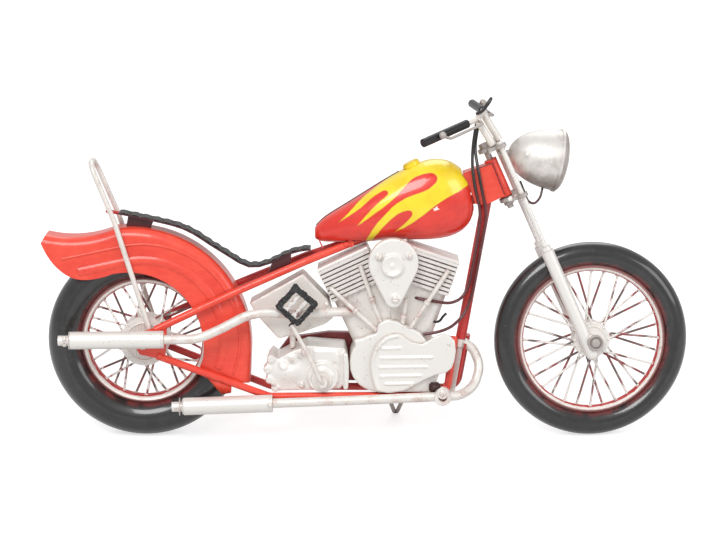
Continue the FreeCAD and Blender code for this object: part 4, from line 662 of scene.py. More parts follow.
def apply_modifiers(piece):
    """Gives a piece the mesh that its modifiers make."""
    graph = bpy.context.evaluated_depsgraph_get()
    mesh = bpy.data.meshes.new_from_object(piece.evaluated_get(graph))
    piece.modifiers.clear()
    piece.data = mesh


def remade(node_name, name, body, face, rods=()):
    """A copy of a CAD node with even faces of that size in millimetres, shown instead of it.

    Rods across the bike grow out of it, as (ahead, up, radius, right end, left end).
    """
    made = bmesh.new()
    made.from_mesh(nodes[node_name].data)
    for ahead, up, radius, right_end, left_end in rods:
        middle = Matrix.Translation((ahead, (right_end + left_end) / 2, up))
        bmesh.ops.create_cone(
            made, cap_ends=True, segments=32, radius1=radius, radius2=radius, depth=left_end - right_end,
            matrix=UPRIGHT @ middle @ Matrix.Rotation(math.radians(90), 4, "X"),
        )
    mesh = bpy.data.meshes.new(name)
    made.to_mesh(mesh)
    made.free()
    piece = bpy.data.objects.new(name, mesh)
    shown[node_name] = piece
    scene.collection.objects.link(piece)
    remesh = piece.modifiers.new("remesh", "REMESH")
    remesh.mode = "VOXEL"
    remesh.voxel_size = face * MM
    apply_modifiers(piece)
    piece.data.shade_smooth()
    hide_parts(node_name)
    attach(piece, body)
    return piece


def points_of(mesh):
    """The mesh's points in metres, one row each."""
    flat = numpy.empty(len(mesh.vertices) * 3)
    mesh.vertices.foreach_get("co", flat)
    return flat.reshape(-1, 3)


def normals_of(mesh):
    """The way the surface faces at each point."""
    flat = numpy.empty(len(mesh.vertices) * 3)
    mesh.vertex_normals.foreach_get("vector", flat)
    return flat.reshape(-1, 3)


def move_points(mesh, points):
    """Puts the mesh's points at those places, in metres."""
    mesh.vertices.foreach_set("co", points.ravel())
    mesh.update()


def taken_through(matrix, points):
    """Rows of points after a move by a matrix."""
    rows = numpy.array(matrix)
    return points @ rows[:3, :3].T + rows[:3, 3]


def upright_points(mesh):
    """The mesh's points in millimetres on the upright bike."""
    return taken_through(UPRIGHT.inverted(), points_of(mesh))


def store(mesh, name, numbers):
    """Stores a number at each point, for the finish to read."""
    layer = mesh.attributes.new(name, "FLOAT", "POINT")
    layer.data.foreach_set("value", numbers)


def dented(piece, size, depth, seed):
    """Moves each point in or out along its normal by cloudy noise, in millimetres."""
    points = points_of(piece.data)
    shift = Vector((seed * 7.3, seed * 3.1, seed * 5.7))
    lumps = [noise.noise(Vector(point) / (size * MM) + shift) for point in points]
    heights = numpy.array(lumps) * depth * MM
    move_points(piece.data, points + normals_of(piece.data) * heights[:, None])


print("the CAD tank has", len(nodes["fuel_tank"].data.vertices), "points")

# %% [markdown]
# ## Flames
# The flames are yellow enamel over the red, brushed freehand. Their outline is drawn once, as seen from
# the side and a little from above, with a corner at each tip. Cutting the other corners twice rounds
# them. Then each point of the tank learns how far it is inside the outline, and the finish turns that
# distance into a clean brushed edge. Both sides of the tank get the same flames.

# %% The flames' outline
# Places are (ahead, up) in millimetres. Heights are those seen at the tank's middle plane.
FLAME_TIPS = [(-17.4, 133.1), (16.8, 126.9), (3.1, 122.0), (-0.6, 122.0), (-6.4, 130.4)]
FLAME = [
    (-17.4, 133.1), (-11.5, 138.7), (-4.0, 147.7), (4.9, 155.3), (16.8, 164.0), (25.7, 170.4),
    (28.7, 179.4), (73.3, 179.4), (73.3, 162.8), (64.7, 158.3), (56.2, 151.9), (48.0, 147.7),
    (40.6, 142.4), (33.2, 136.4), (25.7, 131.1), (16.8, 126.9), (24.2, 133.4), (28.1, 137.5),
    (27.5, 140.2), (24.2, 140.6), (18.3, 137.9), (12.3, 132.6), (7.1, 126.6), (3.1, 122.0),
    (-0.6, 122.0), (4.9, 131.1), (10.8, 137.5), (16.8, 144.0), (24.2, 148.5), (30.2, 150.7),
    (37.6, 153.3), (42.4, 157.8), (43.3, 161.3), (40.6, 163.9), (35.0, 163.3), (27.5, 160.1),
    (22.8, 154.5), (16.8, 147.7), (9.4, 141.7), (0.4, 135.1), (-6.4, 130.4), (-1.1, 136.9),
    (6.4, 145.0), (12.6, 149.8), (13.2, 152.3), (10.1, 153.3), (2.7, 148.0), (-4.8, 140.9),
]
CHIP = [(39.1, 142.6), (41.5, 141.7), (43.0, 143.8), (43.3, 142.0), (45.1, 141.4), (42.4, 140.6),
        (41.1, 139.9), (40.9, 141.2)]


def rounded(outline, tips):
    """The outline with its corners cut, except at the tips."""
    cut = []
    for before, corner, after in zip(outline[-1:] + outline, outline, outline[1:] + outline[:1]):
        if corner in tips:
            cut.append(corner)
            continue
        for other in (before, after):
            cut.append(tuple(0.75 * here + 0.25 * there for here, there in zip(corner, other)))
    return cut


def depth_inside(outline, places):
    """How far each place lies inside a closed outline; outside counts as negative."""
    nearest = numpy.full(len(places), numpy.inf)
    inside = numpy.zeros(len(places), bool)
    for start, end in zip(outline, outline[1:] + outline[:1]):
        start, run = numpy.array(start), numpy.array(end) - numpy.array(start)
        share = numpy.clip((places - start) @ run / (run @ run), 0, 1)
        nearest = numpy.minimum(nearest, numpy.linalg.norm(places - start - share[:, None] * run, axis=1))
        crossed = (start[1] > places[:, 1]) != (start[1] + run[1] > places[:, 1])
        level = (places[:, 1] - start[1]) / (run[1] if run[1] else 1)
        inside ^= crossed & (places[:, 0] < start[0] + level * run[0])
    return numpy.where(inside, nearest, -nearest)


flame_outline = rounded(rounded(FLAME, FLAME_TIPS), FLAME_TIPS)
print("flame outline has", len(flame_outline), "corners")

# %% [markdown]
# ## The tank
# The tank's copy carries the flames. The finish reads the distance that is stored at each point, so it
# needs no image, and the flames' edge stays smooth between the points. The seam between the tank's two
# halves is a dark groove along its middle, found by the distance from the middle plane.

# %% The tank
# Seen from a little above, what lies nearer to the eye looks lower, by this share of its distance.
VIEW_SLOPE = 0.167
FAR_OUTSIDE = -9.0
tank = remade("fuel_tank", "flame_tank", "frame", 0.75)
ahead, across, up = upright_points(tank.data).T
side_view = numpy.stack([ahead, up - VIEW_SLOPE * numpy.abs(across)], axis=1)
store(tank.data, "flame_depth", depth_inside(flame_outline, side_view))
store(tank.data, "chip_depth", numpy.where(across < 0, depth_inside(CHIP, side_view), FAR_OUTSIDE))


def flame_paint():
    """Red enamel with yellow flames, a chipped spot, the seam along the tank's middle, and painted shade in
    its corners.
    """
    finish = Finish("flame_enamel")
    point = place(finish)
    clouds = spots(finish, point, 14)
    streaks = spots(finish, point, 1.8, stretch=(0.2, 1, 0.5))
    grain = spots(finish, point, 0.5)
    brushed = painted_on(finish, "flame_depth") + (streaks - 0.5) * 0.6
    flame = brushed.between(-0.1, 0.12)
    rim = brushed.between(-0.35, -0.05) * (1 - brushed.between(0.1, 0.5))
    uneven = (clouds * 0.7 + streaks * 0.4).between(0.35, 0.9)
    red = blend(finish, uneven, srgb(242, 54, 34), srgb(216, 34, 26))
    yellow = blend(finish, clouds.between(0.42, 0.75), srgb(255, 228, 34), srgb(252, 208, 22))
    drawn = blend(finish, rim * 0.5, blend(finish, flame, red, yellow), srgb(206, 112, 30))
    chip = painted_on(finish, "chip_depth").between(-0.1, 0.15)
    seam = 1 - abs(part_of(finish, point, "Y")).between(0.25, 0.6)
    # Painted shade: tight corners turn dark red.
    corner_shade = hollow(finish, 4) * 0.5
    shaded = blend(finish, corner_shade, blend(finish, chip, drawn, srgb(250, 244, 238)), srgb(96, 26, 26))
    finish.set(
        base_color=blend(finish, seam * 0.85, shaded, srgb(58, 30, 26)),
        roughness=0.24 + streaks * 0.12 + chip * 0.3 + corner_shade * 0.2,
        coat_weight=0.8,
        coat_roughness=0.06,
        normal=bumps(finish, flame * 0.5 + clouds * 1.1 + grain * 0.15 - chip * 0.8 - seam * 1.5, 0.14),
    )
    return finish.material


wear(tank, flame_paint())
print("tank has", len(tank.data.polygons), "faces")

# %% [markdown]
# ## Seat
# The seat is a strip with rolls across it, brushed black over its red pan. Its copy is softened, drawn in
# so that it stays thin, and dented. Cloudy noise is enough for dents this small, and can be repeated,
# which sculpting by hand can't.

# %% Seat
def eased(piece, rounds):
    """Softens a piece's forms by that many rounds of smoothing."""
    smooth = piece.modifiers.new("smooth", "SMOOTH")
    smooth.iterations = rounds
    apply_modifiers(piece)


def drawn_in(piece, amount, lowered=0.0):
    """Draws the surface in and lowers the piece, in millimetres. A negative amount swells it."""
    down = numpy.array(UPRIGHT.to_3x3() @ Vector((0, 0, -lowered)))
    move_points(piece.data, points_of(piece.data) - normals_of(piece.data) * amount * MM + down)


seat = remade("seat_pad", "rolled_seat", "frame", 0.42)
eased(seat, 20)
drawn_in(seat, 0.65, lowered=0.65)
dented(seat, 2.6, 0.2, 1)
wear(seat, black_paint("seat_black", srgb(26, 19, 22), srgb(112, 48, 52), 0.15, gloss=0.34, shine=0.25))
print("seat has", len(seat.data.polygons), "faces")

# %% [markdown]
# ## Kick pedal
# The pedal is a square frame, dipped in black until it went lumpy, with two silver bars inside. Its copy is
# swelled and then dented twice, with broad lumps and with fine ones. A number that is stored at each point
# says how far it lies inside the frame's opening, and the silver goes there.

# %% Kick pedal
PEDAL_MIDDLE = numpy.array((-42.4, -28.0, 87.2))
PEDAL_FOOT = numpy.array((-46.8, -28.0, 76.0))
PEDAL_SHARE = 0.93
PEDAL_TILT = math.radians(42)
OPENING_HALF = 6.1


def shrunk(points):
    """Places on the pedal after it shrinks towards the arm that holds it."""
    return PEDAL_FOOT + (points - PEDAL_FOOT) * PEDAL_SHARE


pedal = remade("kick_pedal", "dipped_pedal", "frame", 0.34)
# A quarter turn in the side view sets the two bars as on the real pedal.
ahead, across, up = (upright_points(pedal.data) - PEDAL_MIDDLE).T
turned = numpy.stack([up, across, -ahead], axis=1) + PEDAL_MIDDLE
move_points(pedal.data, taken_through(UPRIGHT, shrunk(turned)))
eased(pedal, 10)
drawn_in(pedal, -0.55)
dented(pedal, 2.2, 1.0, 2)
dented(pedal, 0.7, 0.3, 3)
# The silver inside is a square that is tilted as the pedal is, so its two distances are tilted too.
ahead, _, up = (upright_points(pedal.data) - shrunk(PEDAL_MIDDLE)).T
level = ahead * math.cos(PEDAL_TILT) - up * math.sin(PEDAL_TILT)
height = ahead * math.sin(PEDAL_TILT) + up * math.cos(PEDAL_TILT)
store(pedal.data, "within", OPENING_HALF - numpy.maximum(numpy.abs(level), numpy.abs(height)))


def pedal_paint():
    """Lumpy black outside, silver on the bars inside."""
    finish = Finish("pedal_paint")
    point = place(finish)
    grain = spots(finish, point, 0.8, detail=4.0)
    clouds = spots(finish, point, 3)
    black = blend(finish, grain.between(0.5, 0.75), srgb(32, 32, 34), srgb(92, 90, 90))
    silver = blend(finish, clouds.between(0.55, 0.7), srgb(232, 228, 224), srgb(150, 60, 56))
    within = (painted_on(finish, "within") + (grain - 0.5) * 1.2).between(-0.2, 0.3)
    finish.set(
        base_color=blend(finish, within, black, silver),
        roughness=0.4 + grain * 0.2,
        normal=bumps(finish, grain + clouds * 0.5, 0.2),
    )
    return finish.material


wear(pedal, pedal_paint())
print("pedal has", len(pedal.data.polygons), "faces")

# %% [markdown]
# ## Copies of the control cables
# The two control cables are held at the bars and along the down tube, and bend between as the fork
# turns. A copy of each CAD cable is shown instead of it.

# %% Copies of the control cables
for node_name in ("clutch_cable", "brake_cable"):
    cable = bpy.data.objects.new("bending_" + node_name, nodes[node_name].data.copy())
    scene.collection.objects.link(cable)
    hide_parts(node_name)
    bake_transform(cable)
    print(cable.name, "follows frame and fork")

# %% [markdown]
# ## Castings
# Nothing on the gearbox has a sharp edge. Bosses stand round its rim, a drum stands round the kick
# shaft, and a rib closes its front. They join the CAD's housing before it is remade, so they grow out of
# it, and smoothing rounds every edge between them. Its wall then swells between the bosses. The cam
# cover, the crankcase, the air cleaner and the oil tank are eased in the same way.

# %% Castings
# Rods are (ahead, up, radius, right end, left end), and swellings (ahead, up, wide, high, tall).
BOSSES = [
    (ahead, up, 2.5, -15.5, -4) for ahead, up in (
        (-59.2, 50.4), (-61.4, 43.8), (-60.2, 37.2), (-56.6, 32.2),
        (-51.6, 46.6), (-45.8, 50.2), (-39.8, 53.0),
    )
]
DRUM = [(-27.0, 39.4, 9.6, -17.2, -10), (-27.0, 39.4, 6.0, -18.2, -10)]
FRONT_RIB = [(-12.4 - 0.006 * (up - 42) ** 2, up, 1.6, -17.8, -10) for up in range(33, 54, 2)]
SWELLINGS = [(-47.5, 41.5, 9.0, 5.5, 2.6), (-33.0, 33.0, 6.0, 3.0, 1.0), (-17.5, 50.0, 2.5, 5.0, 1.2)]
# The wall starts to swell at this place across the bike, and swells fully this much further right.
SWELL_START = -8.0
SWELL_RUN = 6.0


def swelled(piece, swellings):
    """Swells a piece's right wall at those places, in millimetres."""
    ahead, across, up = upright_points(piece.data).T
    height = sum(
        tall * numpy.exp(-((ahead - middle) / wide) ** 2 - ((up - level) / high) ** 2)
        for middle, level, wide, high, tall in swellings
    )
    height *= numpy.clip((SWELL_START - across) / SWELL_RUN, 0, 1)
    rightwards = numpy.array(UPRIGHT.to_3x3() @ Vector((0, -1, 0)))
    move_points(piece.data, points_of(piece.data) + height[:, None] * rightwards)


gearbox = remade("gearbox", "cast_gearbox", "frame", 0.55, BOSSES + DRUM + FRONT_RIB)
eased(gearbox, 9)
swelled(gearbox, SWELLINGS)
wear(gearbox, bright_silver)
# Node, new name, face size in millimetres, rounds of smoothing and paint.
EASED = [
    ("air_cleaner", "pressed_cleaner", 0.5, 6, bright_silver),
    ("cam_cover", "cast_cam_cover", 0.5, 4, bright_silver),
    ("crankcase", "cast_crankcase", 0.75, 4, bright_silver),
    ("oil_tank", "soldered_oil_tank", 0.75, 8, warm_silver),
]
for node_name, name, face, rounds, material in EASED:
    piece = remade(node_name, name, "frame", face)
    eased(piece, rounds)
    wear(piece, material)
    print(name, "has", len(piece.data.polygons), "faces")
print("gearbox has", len(gearbox.data.polygons), "faces")

# %% [markdown]
# ## Small metal pieces
# Screws, rivets, solder and thin wires tell the eye how the real model was put together. Each must sit
# on what carries it. So a rough place is given, and the nearest place on the node's surface is looked
# up, with the way it faces there. Then nothing floats and nothing sinks in.

# %% Finding a surface
FARTHEST = 4 * MM
surfaces = {}


def surface_of(node_name):
    """The surface that is shown for a node, in a form that can be searched."""
    if node_name not in surfaces:
        mesh = shown[node_name].data
        faces = [tuple(polygon.vertices) for polygon in mesh.polygons]
        surfaces[node_name] = BVHTree.FromPolygons([vertex.co for vertex in mesh.vertices], faces)
    return surfaces[node_name]


def on_surface(node_name, rough_place):
    """The nearest place on a node in metres, and the way its surface faces there."""
    spot, normal, _, away = surface_of(node_name).find_nearest(UPRIGHT @ Vector(rough_place))
    if away > FARTHEST:
        raise ValueError(f"{node_name} is {away / MM:.1f} mm away from {rough_place}")
    return spot, normal


def added(name, mesh, material, body):
    """A new piece in the scene that rides on a body."""
    piece = bpy.data.objects.new(name, mesh)
    scene.collection.objects.link(piece)
    piece.data.materials.append(material)
    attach(piece, body)
    return piece


def finished_mesh(name, made):
    """A bmesh turned into a smooth mesh."""
    bmesh.ops.recalc_face_normals(made, faces=made.faces)
    mesh = bpy.data.meshes.new(name)
    made.to_mesh(mesh)
    made.free()
    mesh.shade_smooth()
    return mesh


print("the cleaner's cap is at", list(on_surface("air_cleaner", (17.5, -25, 104))[0]))

# %% [markdown]
# ## Screw heads
# The covers are held by domed screws with a slot. A head is a stack of rings of points that narrow
# towards its top, and the points over the slot are lowered. That takes fewer and cleaner faces than
# cutting a slot out of a ball.

# %% Screw heads
def facing(normal):
    """The turn that makes a piece's own upward way stand out from a surface."""
    return normal.to_track_quat("Z", "Y").to_matrix()


def turns(count):
    """That many even steps of a full turn, in radians."""
    return [2 * math.pi * step / count for step in range(count)]


def join_rings(made, rings):
    """Faces between rings of points, from the first to the last, which gets a cap."""
    count = len(rings[0])
    for lower, upper in zip(rings, rings[1:]):
        for step in range(count):
            following = (step + 1) % count
            made.faces.new((lower[step], lower[following], upper[following], upper[step]))
    made.faces.new(rings[-1])


# All are shares of the head's radius. The dome's rings are given from its foot up.
DOME_RINGS = [1.0, 1.0, 0.94, 0.8, 0.6, 0.4, 0.2]
FOOT_DEPTH = 0.3
RIM_HEIGHT = 0.12
DOME_HEIGHT = 0.62
SLOT_HALF = 0.2
SLOT_DEPTH = 0.3


def screw_head(made, spot, normal, radius, angle):
    """A domed head with a slot, built up from rings of points."""
    tilt = facing(normal) @ Matrix.Rotation(angle, 3, "Z")
    rings = []
    for level, share in enumerate(DOME_RINGS):
        ring = []
        for turn in turns(24):
            across, along = share * math.cos(turn), share * math.sin(turn)
            rise = -FOOT_DEPTH if level == 0 else DOME_HEIGHT * (1 - share * share) ** 0.5 + RIM_HEIGHT
            if level > 1 and abs(across) < SLOT_HALF:
                rise -= SLOT_DEPTH
            ring.append(made.verts.new(spot + tilt @ Vector((across, along, rise)) * radius * MM))
        rings.append(ring)
    join_rings(made, rings)


# Rough places and radii, (ahead, across, up, radius), on each node that has screws.
SCREWS = {
    "air_cleaner": [(7.2, -25, 115.8, 2.0), (25.8, -25, 116.4, 2.0), (17.5, -25, 89.5, 2.1)],
    "gearbox": [
        (-46.2, -16, 50.2, 1.7), (-41, -16, 52.6, 1.7), (-57.5, -16, 35, 1.7), (-40, -16, 34.2, 1.7),
    ],
    "cam_cover": [(6.2, -20.5, 57.5, 1.1), (50.8, -20.5, 60.4, 1.1), (28, -20.5, 33.5, 1.1)],
    "primary_cover": [
        (-46, 22, 40, 1.6), (-40, 22, 53, 1.6), (-16, 22, 35.5, 1.6), (-8, 22, 57, 1.6),
        (22, 22, 38, 1.6), (22, 22, 52, 1.6),
    ],
}
screws = bmesh.new()
for node_name, rows in SCREWS.items():
    for ahead, across, up, radius in rows:
        spot, normal = on_surface(node_name, (ahead, across, up))
        # The slots point in many ways, so the angle comes from the place.
        screw_head(screws, spot, normal, radius, ahead * 1.7)
screw_mesh = finished_mesh("screw_heads", screws)
added("screw_heads", screw_mesh, warm_silver, "frame")
print("screws have", len(screw_mesh.polygons), "faces")

# %% [markdown]
# ## Solder and rivets
# Drops of solder were left where wires and tubes meet, and rivets hold the lamp. Each is a ball that is
# pressed flat onto the surface and pushed about by noise, with another seed each time, so no two are alike.

# %% Solder and rivets
def lump(made, spot, normal, radius, flatness, seed):
    """A lump of solder: a ball flattened onto the surface and pushed about by noise."""
    tilt = facing(normal)
    for vertex in bmesh.ops.create_icosphere(made, subdivisions=3, radius=1)["verts"]:
        uneven = 1 + 0.4 * noise.noise(vertex.co * 1.5 + Vector((seed * 3.7, seed, 0)))
        squashed = Vector((vertex.co.x, vertex.co.y, vertex.co.z * flatness)) * uneven
        vertex.co = spot + tilt @ squashed * radius * MM


DROP_FLATNESS = 0.5


def solder(name, rows, body, material):
    """Lumps on nodes, from (node, ahead, across, up, radius) rows."""
    made = bmesh.new()
    for seed, (node_name, ahead, across, up, radius) in enumerate(rows):
        spot, normal = on_surface(node_name, (ahead, across, up))
        lump(made, spot, normal, radius, DROP_FLATNESS, seed)
    added(name, finished_mesh(name, made), material, body)


FRAME_SOLDER = [
    (node_name + side, ahead, hand * across, up, radius)
    for side, hand in (("_right", -1), ("_left", 1))
    for node_name, ahead, across, up, radius in (
        ("upper_stay", -124, 22, 70, 1.5), ("upper_stay", -12.5, 8, 121, 1.6),
        ("cradle", -127, 22, 53.5, 1.5), ("cradle", -60.5, 18, 28, 1.5), ("cradle", 50, 13, 28, 1.6),
    )
]
solder("frame_solder", FRAME_SOLDER, "frame", red_enamel)
PIPE_SOLDER = [
    ("upper_muffler", -184.2, -33, 66.6, 1.4), ("upper_muffler", -184.4, -32, 62.4, 1.5),
    ("upper_muffler", -185.4, -34, 64.2, 1.1), ("lower_muffler", -116.4, -25, 20.6, 1.5),
    ("lower_muffler", -59.4, -27, 24.0, 1.6), ("rear_exhaust_pipe", -125.4, -32, 68.4, 1.4),
    ("oil_tank", -24.6, -11, 84.0, 1.6), ("kick_starter", -27.0, -20, 38.6, 1.2),
    ("sissy_bar", -132.4, -20, 67, 1.7), ("sissy_bar", -132.4, 20, 67, 1.7),
]
solder("pipe_solder", PIPE_SOLDER, "frame", warm_silver)
FORK_SOLDER = [
    ("headlamp_shell", 97.5, -13, 177.6, 1.5), ("headlamp_shell", 95.5, 17, 177.6, 1.5),
    ("fork_slider_right", 138.0, -18, 64.0, 2.0), ("fork_slider_left", 138.0, 18, 64.0, 2.0),
]
solder("fork_solder", FORK_SOLDER, "fork", bright_silver)
YOKE_SOLDER = [
    ("fork_yokes", ahead, across, up, radius) for ahead, across, up, radius in (
        (88, -14, 150, 1.6), (91, -12, 152, 1.3), (76.6, -13, 177, 1.3),
        (83, -13, 181, 1.4), (90, 12, 150, 1.6), (80, 14, 179, 1.3),
    )
]
solder("yoke_solder", YOKE_SOLDER, "fork", brown_silver)
PEDAL_SOLDER = [("kick_starter", -46.9, -27.5, 76.5, 1.8), ("kick_starter", -46.4, -27.5, 74.4, 1.4)]
solder("pedal_solder", PEDAL_SOLDER, "frame", black_enamel)
print("solder lumps:", sum(map(len, (FRAME_SOLDER, PIPE_SOLDER, FORK_SOLDER, YOKE_SOLDER, PEDAL_SOLDER))))

# %% [markdown]
# ## Solder where the spokes meet the rims
# Every spoke ends in a small lump inside its rim. The CAD model sets its spokes by a loop round the axle.
# The same loop gives their ends here, so each lump sits on its spoke.

# %% Solder where the spokes meet the rims
SPOKES_A_SIDE = 16
SPOKE_WIRE = 1.4
REAR_RIM_INSIDE = 35.4
FRONT_RIM_INSIDE = 42.6
# A spoke ends beside the wheel's middle plane, by this share of the rim's width. Neighbours pass each
# other there, by this share of the wire.
SIDE_SHARE = 0.13
PASSING_SHARE = 0.248
LUMP_RADIUS = 1.15
LUMP_FLATNESS = 0.75
LUMP_SINK = 0.1


def spoke_solder(name, centre, held, inside, rim_width, body):
    """A small lump at each spoke's outer end, inside the rim."""
    made = bmesh.new()
    for hand in (-1, 1):
        for index in range(SPOKES_A_SIDE):
            half_step = 0.5 if hand > 0 else 0
            turn = math.radians(360 / SPOKES_A_SIDE * (index + half_step))
            passing = SPOKE_WIRE * PASSING_SHARE * (1 if index % 2 else -1)
            out = Vector((math.cos(turn), 0, -math.sin(turn)))
            across = Vector((0, hand * rim_width * SIDE_SHARE + passing, 0))
            spot = held @ (Vector(centre) + out * (inside - LUMP_SINK) + across)
            inward = (held.to_3x3() @ -out).normalized()
            lump(made, spot, inward, LUMP_RADIUS, LUMP_FLATNESS, index + hand)
    added(name, finished_mesh(name, made), warm_silver, body)


spoke_solder("rear_spoke_solder", REAR_WHEEL, UPRIGHT, REAR_RIM_INSIDE, REAR_RIM_WIDTH, "rear_wheel")
spoke_solder("front_spoke_solder", FRONT_WHEEL, STEERED, FRONT_RIM_INSIDE, FRONT_RIM_WIDTH, "front_wheel")
print("spokes are soldered to the rims at", 2 * 2 * SPOKES_A_SIDE, "places")

# %% [markdown]
# ## Wires, rings and ribs
# The hubs carry rings and the rear one ribs, and a short wire hangs at the tank's end. A curve with a round
# bevel makes any wire from a few places, and is easier to change than a mesh.

# %% Wires, rings and ribs
def wires(name, strands, radius, material, body, held=UPRIGHT, closed=False):
    """Round wires through upright places, all in one piece."""
    curve = bpy.data.curves.new(name, "CURVE")
    curve.dimensions = "3D"
    curve.bevel_depth = radius * MM
    curve.bevel_resolution = 4
    curve.resolution_u = 8
    curve.use_fill_caps = not closed
    for strand in strands:
        spline = curve.splines.new("NURBS")
        spline.points.add(len(strand) - 1)
        for point, spot in zip(spline.points, strand):
            point.co = (*(held @ Vector(spot)), 1)
        spline.order_u = min(3, len(strand))
        spline.use_endpoint_u = not closed
        spline.use_cyclic_u = closed
    return added(name, curve, material, body)


def round_a_middle(radius, count):
    """Places on a circle, a bit further out than the radius, because the spline cuts inside them."""
    far = radius / math.cos(math.pi / count) ** 2
    return [(far * math.cos(turn), far * math.sin(turn)) for turn in turns(count)]


def circle(centre, radius, across):
    """Places round a wheel's axle."""
    return [(centre[0] + ahead, across, centre[2] + up) for ahead, up in round_a_middle(radius, 24)]


RIB_STEP = 1.7
RIBS_EACH_WAY = 6


def hub_ribs(centre, face, ring, boss):
    """Upright ribs across the hub's face, as chords of its ring, broken by the boss."""
    strands = []
    for step in range(-RIBS_EACH_WAY, RIBS_EACH_WAY + 1):
        ahead = step * RIB_STEP
        reach = (ring * ring - ahead * ahead) ** 0.5
        gap = (boss * boss - ahead * ahead) ** 0.5 if abs(ahead) < boss else 0
        for hand in (-1, 1):
            strands.append([(centre[0] + ahead, face, centre[2] + hand * end) for end in (gap, reach)])
    return strands


rear_rings = [circle(REAR_WHEEL, 11.7, side * 10.7) for side in (-1, 1)]
wires("rear_hub_rings", rear_rings, 0.75, bright_silver, "rear_wheel", closed=True)
rear_ribs = [strand for side in (-1, 1) for strand in hub_ribs(REAR_WHEEL, side * 10.8, 11.2, 4.8)]
wires("rear_hub_ribs", rear_ribs, 0.42, warm_silver, "rear_wheel")
front_rings = [circle(FRONT_WHEEL, 8.5, side * 6.9) for side in (-1, 1)]
wires("front_hub_rings", front_rings, 0.6, bright_silver, "front_wheel", STEERED, True)
TANK_WIRE = [(-30.2, -3.4, 127), (-29.2, -4.6, 122), (-26.6, -6.6, 118.4)]
wires("tank_wire", [TANK_WIRE], 0.45, crimson_and_shade_enamel, "frame")
print("each side of the rear hub has", len(rear_ribs) // 4, "ribs")

# %% [markdown]
# ## Flat plates
# A gusset at the fender, the seat's tail and a clamp at the engine's foot are flat, with straight sides.
# An outline becomes a face, which is extruded to its thickness. Then its edges are bevelled, because no
# real edge is quite sharp, and a rounded one catches the light.

# %% Flat plates
def flat_plate(name, corners, right, left, material, soft=0.3):
    """A plate cut to an outline in the side plane, with its edges softened."""
    made = bmesh.new()
    face = made.faces.new([made.verts.new(UPRIGHT @ Vector((x, right, z))) for x, z in corners])
    extruded = bmesh.ops.extrude_face_region(made, geom=[face])["geom"]
    thick = UPRIGHT.to_3x3() @ Vector((0, left - right, 0))
    far_corners = [part for part in extruded if isinstance(part, bmesh.types.BMVert)]
    bmesh.ops.translate(made, vec=thick, verts=far_corners)
    bmesh.ops.bevel(made, geom=made.edges[:], offset=soft * MM, segments=2, affect="EDGES")
    return added(name, finished_mesh(name, made), material, "frame")


GUSSET = [(-101.5, 42.4), (-83.4, 35.2), (-83.6, 29.6), (-89.4, 28.6)]
SEAT_TAIL = [(-161, 141.6), (-151, 140.2), (-150, 138.6), (-161, 139.6)]
CLAMP = [(38.4, 30.8), (38.6, 36.4), (45.4, 36.6), (45.8, 31)]
plates = [
    flat_plate("fender_gusset", GUSSET, -17.6, -16.6, red_enamel),
    flat_plate("seat_tail", SEAT_TAIL, -3, 3, crimson_and_shade_enamel, soft=0.6),
    flat_plate("engine_clamp", CLAMP, -21.6, -16.4, dark_brown, soft=0.9),
]
print("plates:", [plate.name for plate in plates])

# %% [markdown]
# ## The tank's seam and the fender's shade line
# A thin dark line shows where the tank's halves meet along its top. Another runs along the left edge of
# the fender's crown, as painted shade. Each is a wire laid on the surface. Rays find its way: they are
# cast at the surface from outside, one beside the other, and the wire goes through the places that
# they meet.

# %% The tank's seam and the fender's shade line
def cast(node_name, rough_place, direction):
    """Where a ray meets a node, in upright millimetres."""
    start = UPRIGHT @ Vector(rough_place)
    run = (UPRIGHT.to_3x3() @ Vector(direction)).normalized()
    spot = surface_of(node_name).ray_cast(start, run)[0]
    if spot is None:
        raise ValueError(f"{node_name} isn't met from {rough_place}")
    return UPRIGHT.inverted() @ spot


ABOVE_THE_TANK = 220
OUTSIDE_THE_FENDER = 120
# The fender's line of painted shade runs this far left of its middle plane, along the crown's edge.
FENDER_SHADE_LINE_SIDE = Vector((0, 11.6, 0))
tank_seam = [cast("fuel_tank", (ahead, 0, ABOVE_THE_TANK), (0, 0, -1)) for ahead in range(-31, 22, 3)]
wires("tank_seam", [tank_seam], 0.5, dark_brown, "frame")
fender_shade_line = []
for degrees in range(8, 130, 4):
    turn = math.radians(degrees)
    away = Vector((math.cos(turn), 0, math.sin(turn)))
    start = Vector(REAR_WHEEL) + away * OUTSIDE_THE_FENDER + FENDER_SHADE_LINE_SIDE
    fender_shade_line.append(cast("rear_fender", start, -away))
wires("fender_shade_line", [fender_shade_line], 0.5, dark_brown, "frame")
print("seams run along", len(tank_seam) + len(fender_shade_line), "places")

# %% [markdown]
# ## Dishes and bosses
# The air cleaner has a small dish, the gearbox a ring and a filler knob, and the exhaust's flange a boss.
# All are round, so each is turned from a profile of radii and heights, as on a lathe, and set on the
# surface with the way that the surface faces.

# %% Dishes and bosses
def turned_bowl(name, node_name, rough_place, profile, material, body="frame"):
    """A bowl turned from (radius, height) steps, which sits on a node's face."""
    spot, normal = on_surface(node_name, rough_place)
    made = bmesh.new()
    rings = []
    for radius, height in profile:
        ways = [Vector((math.cos(turn), math.sin(turn), height / radius)) for turn in turns(40)]
        rings.append([made.verts.new(spot + facing(normal) @ way * radius * MM) for way in ways])
    join_rings(made, rings)
    return added(name, finished_mesh(name, made), material, body)


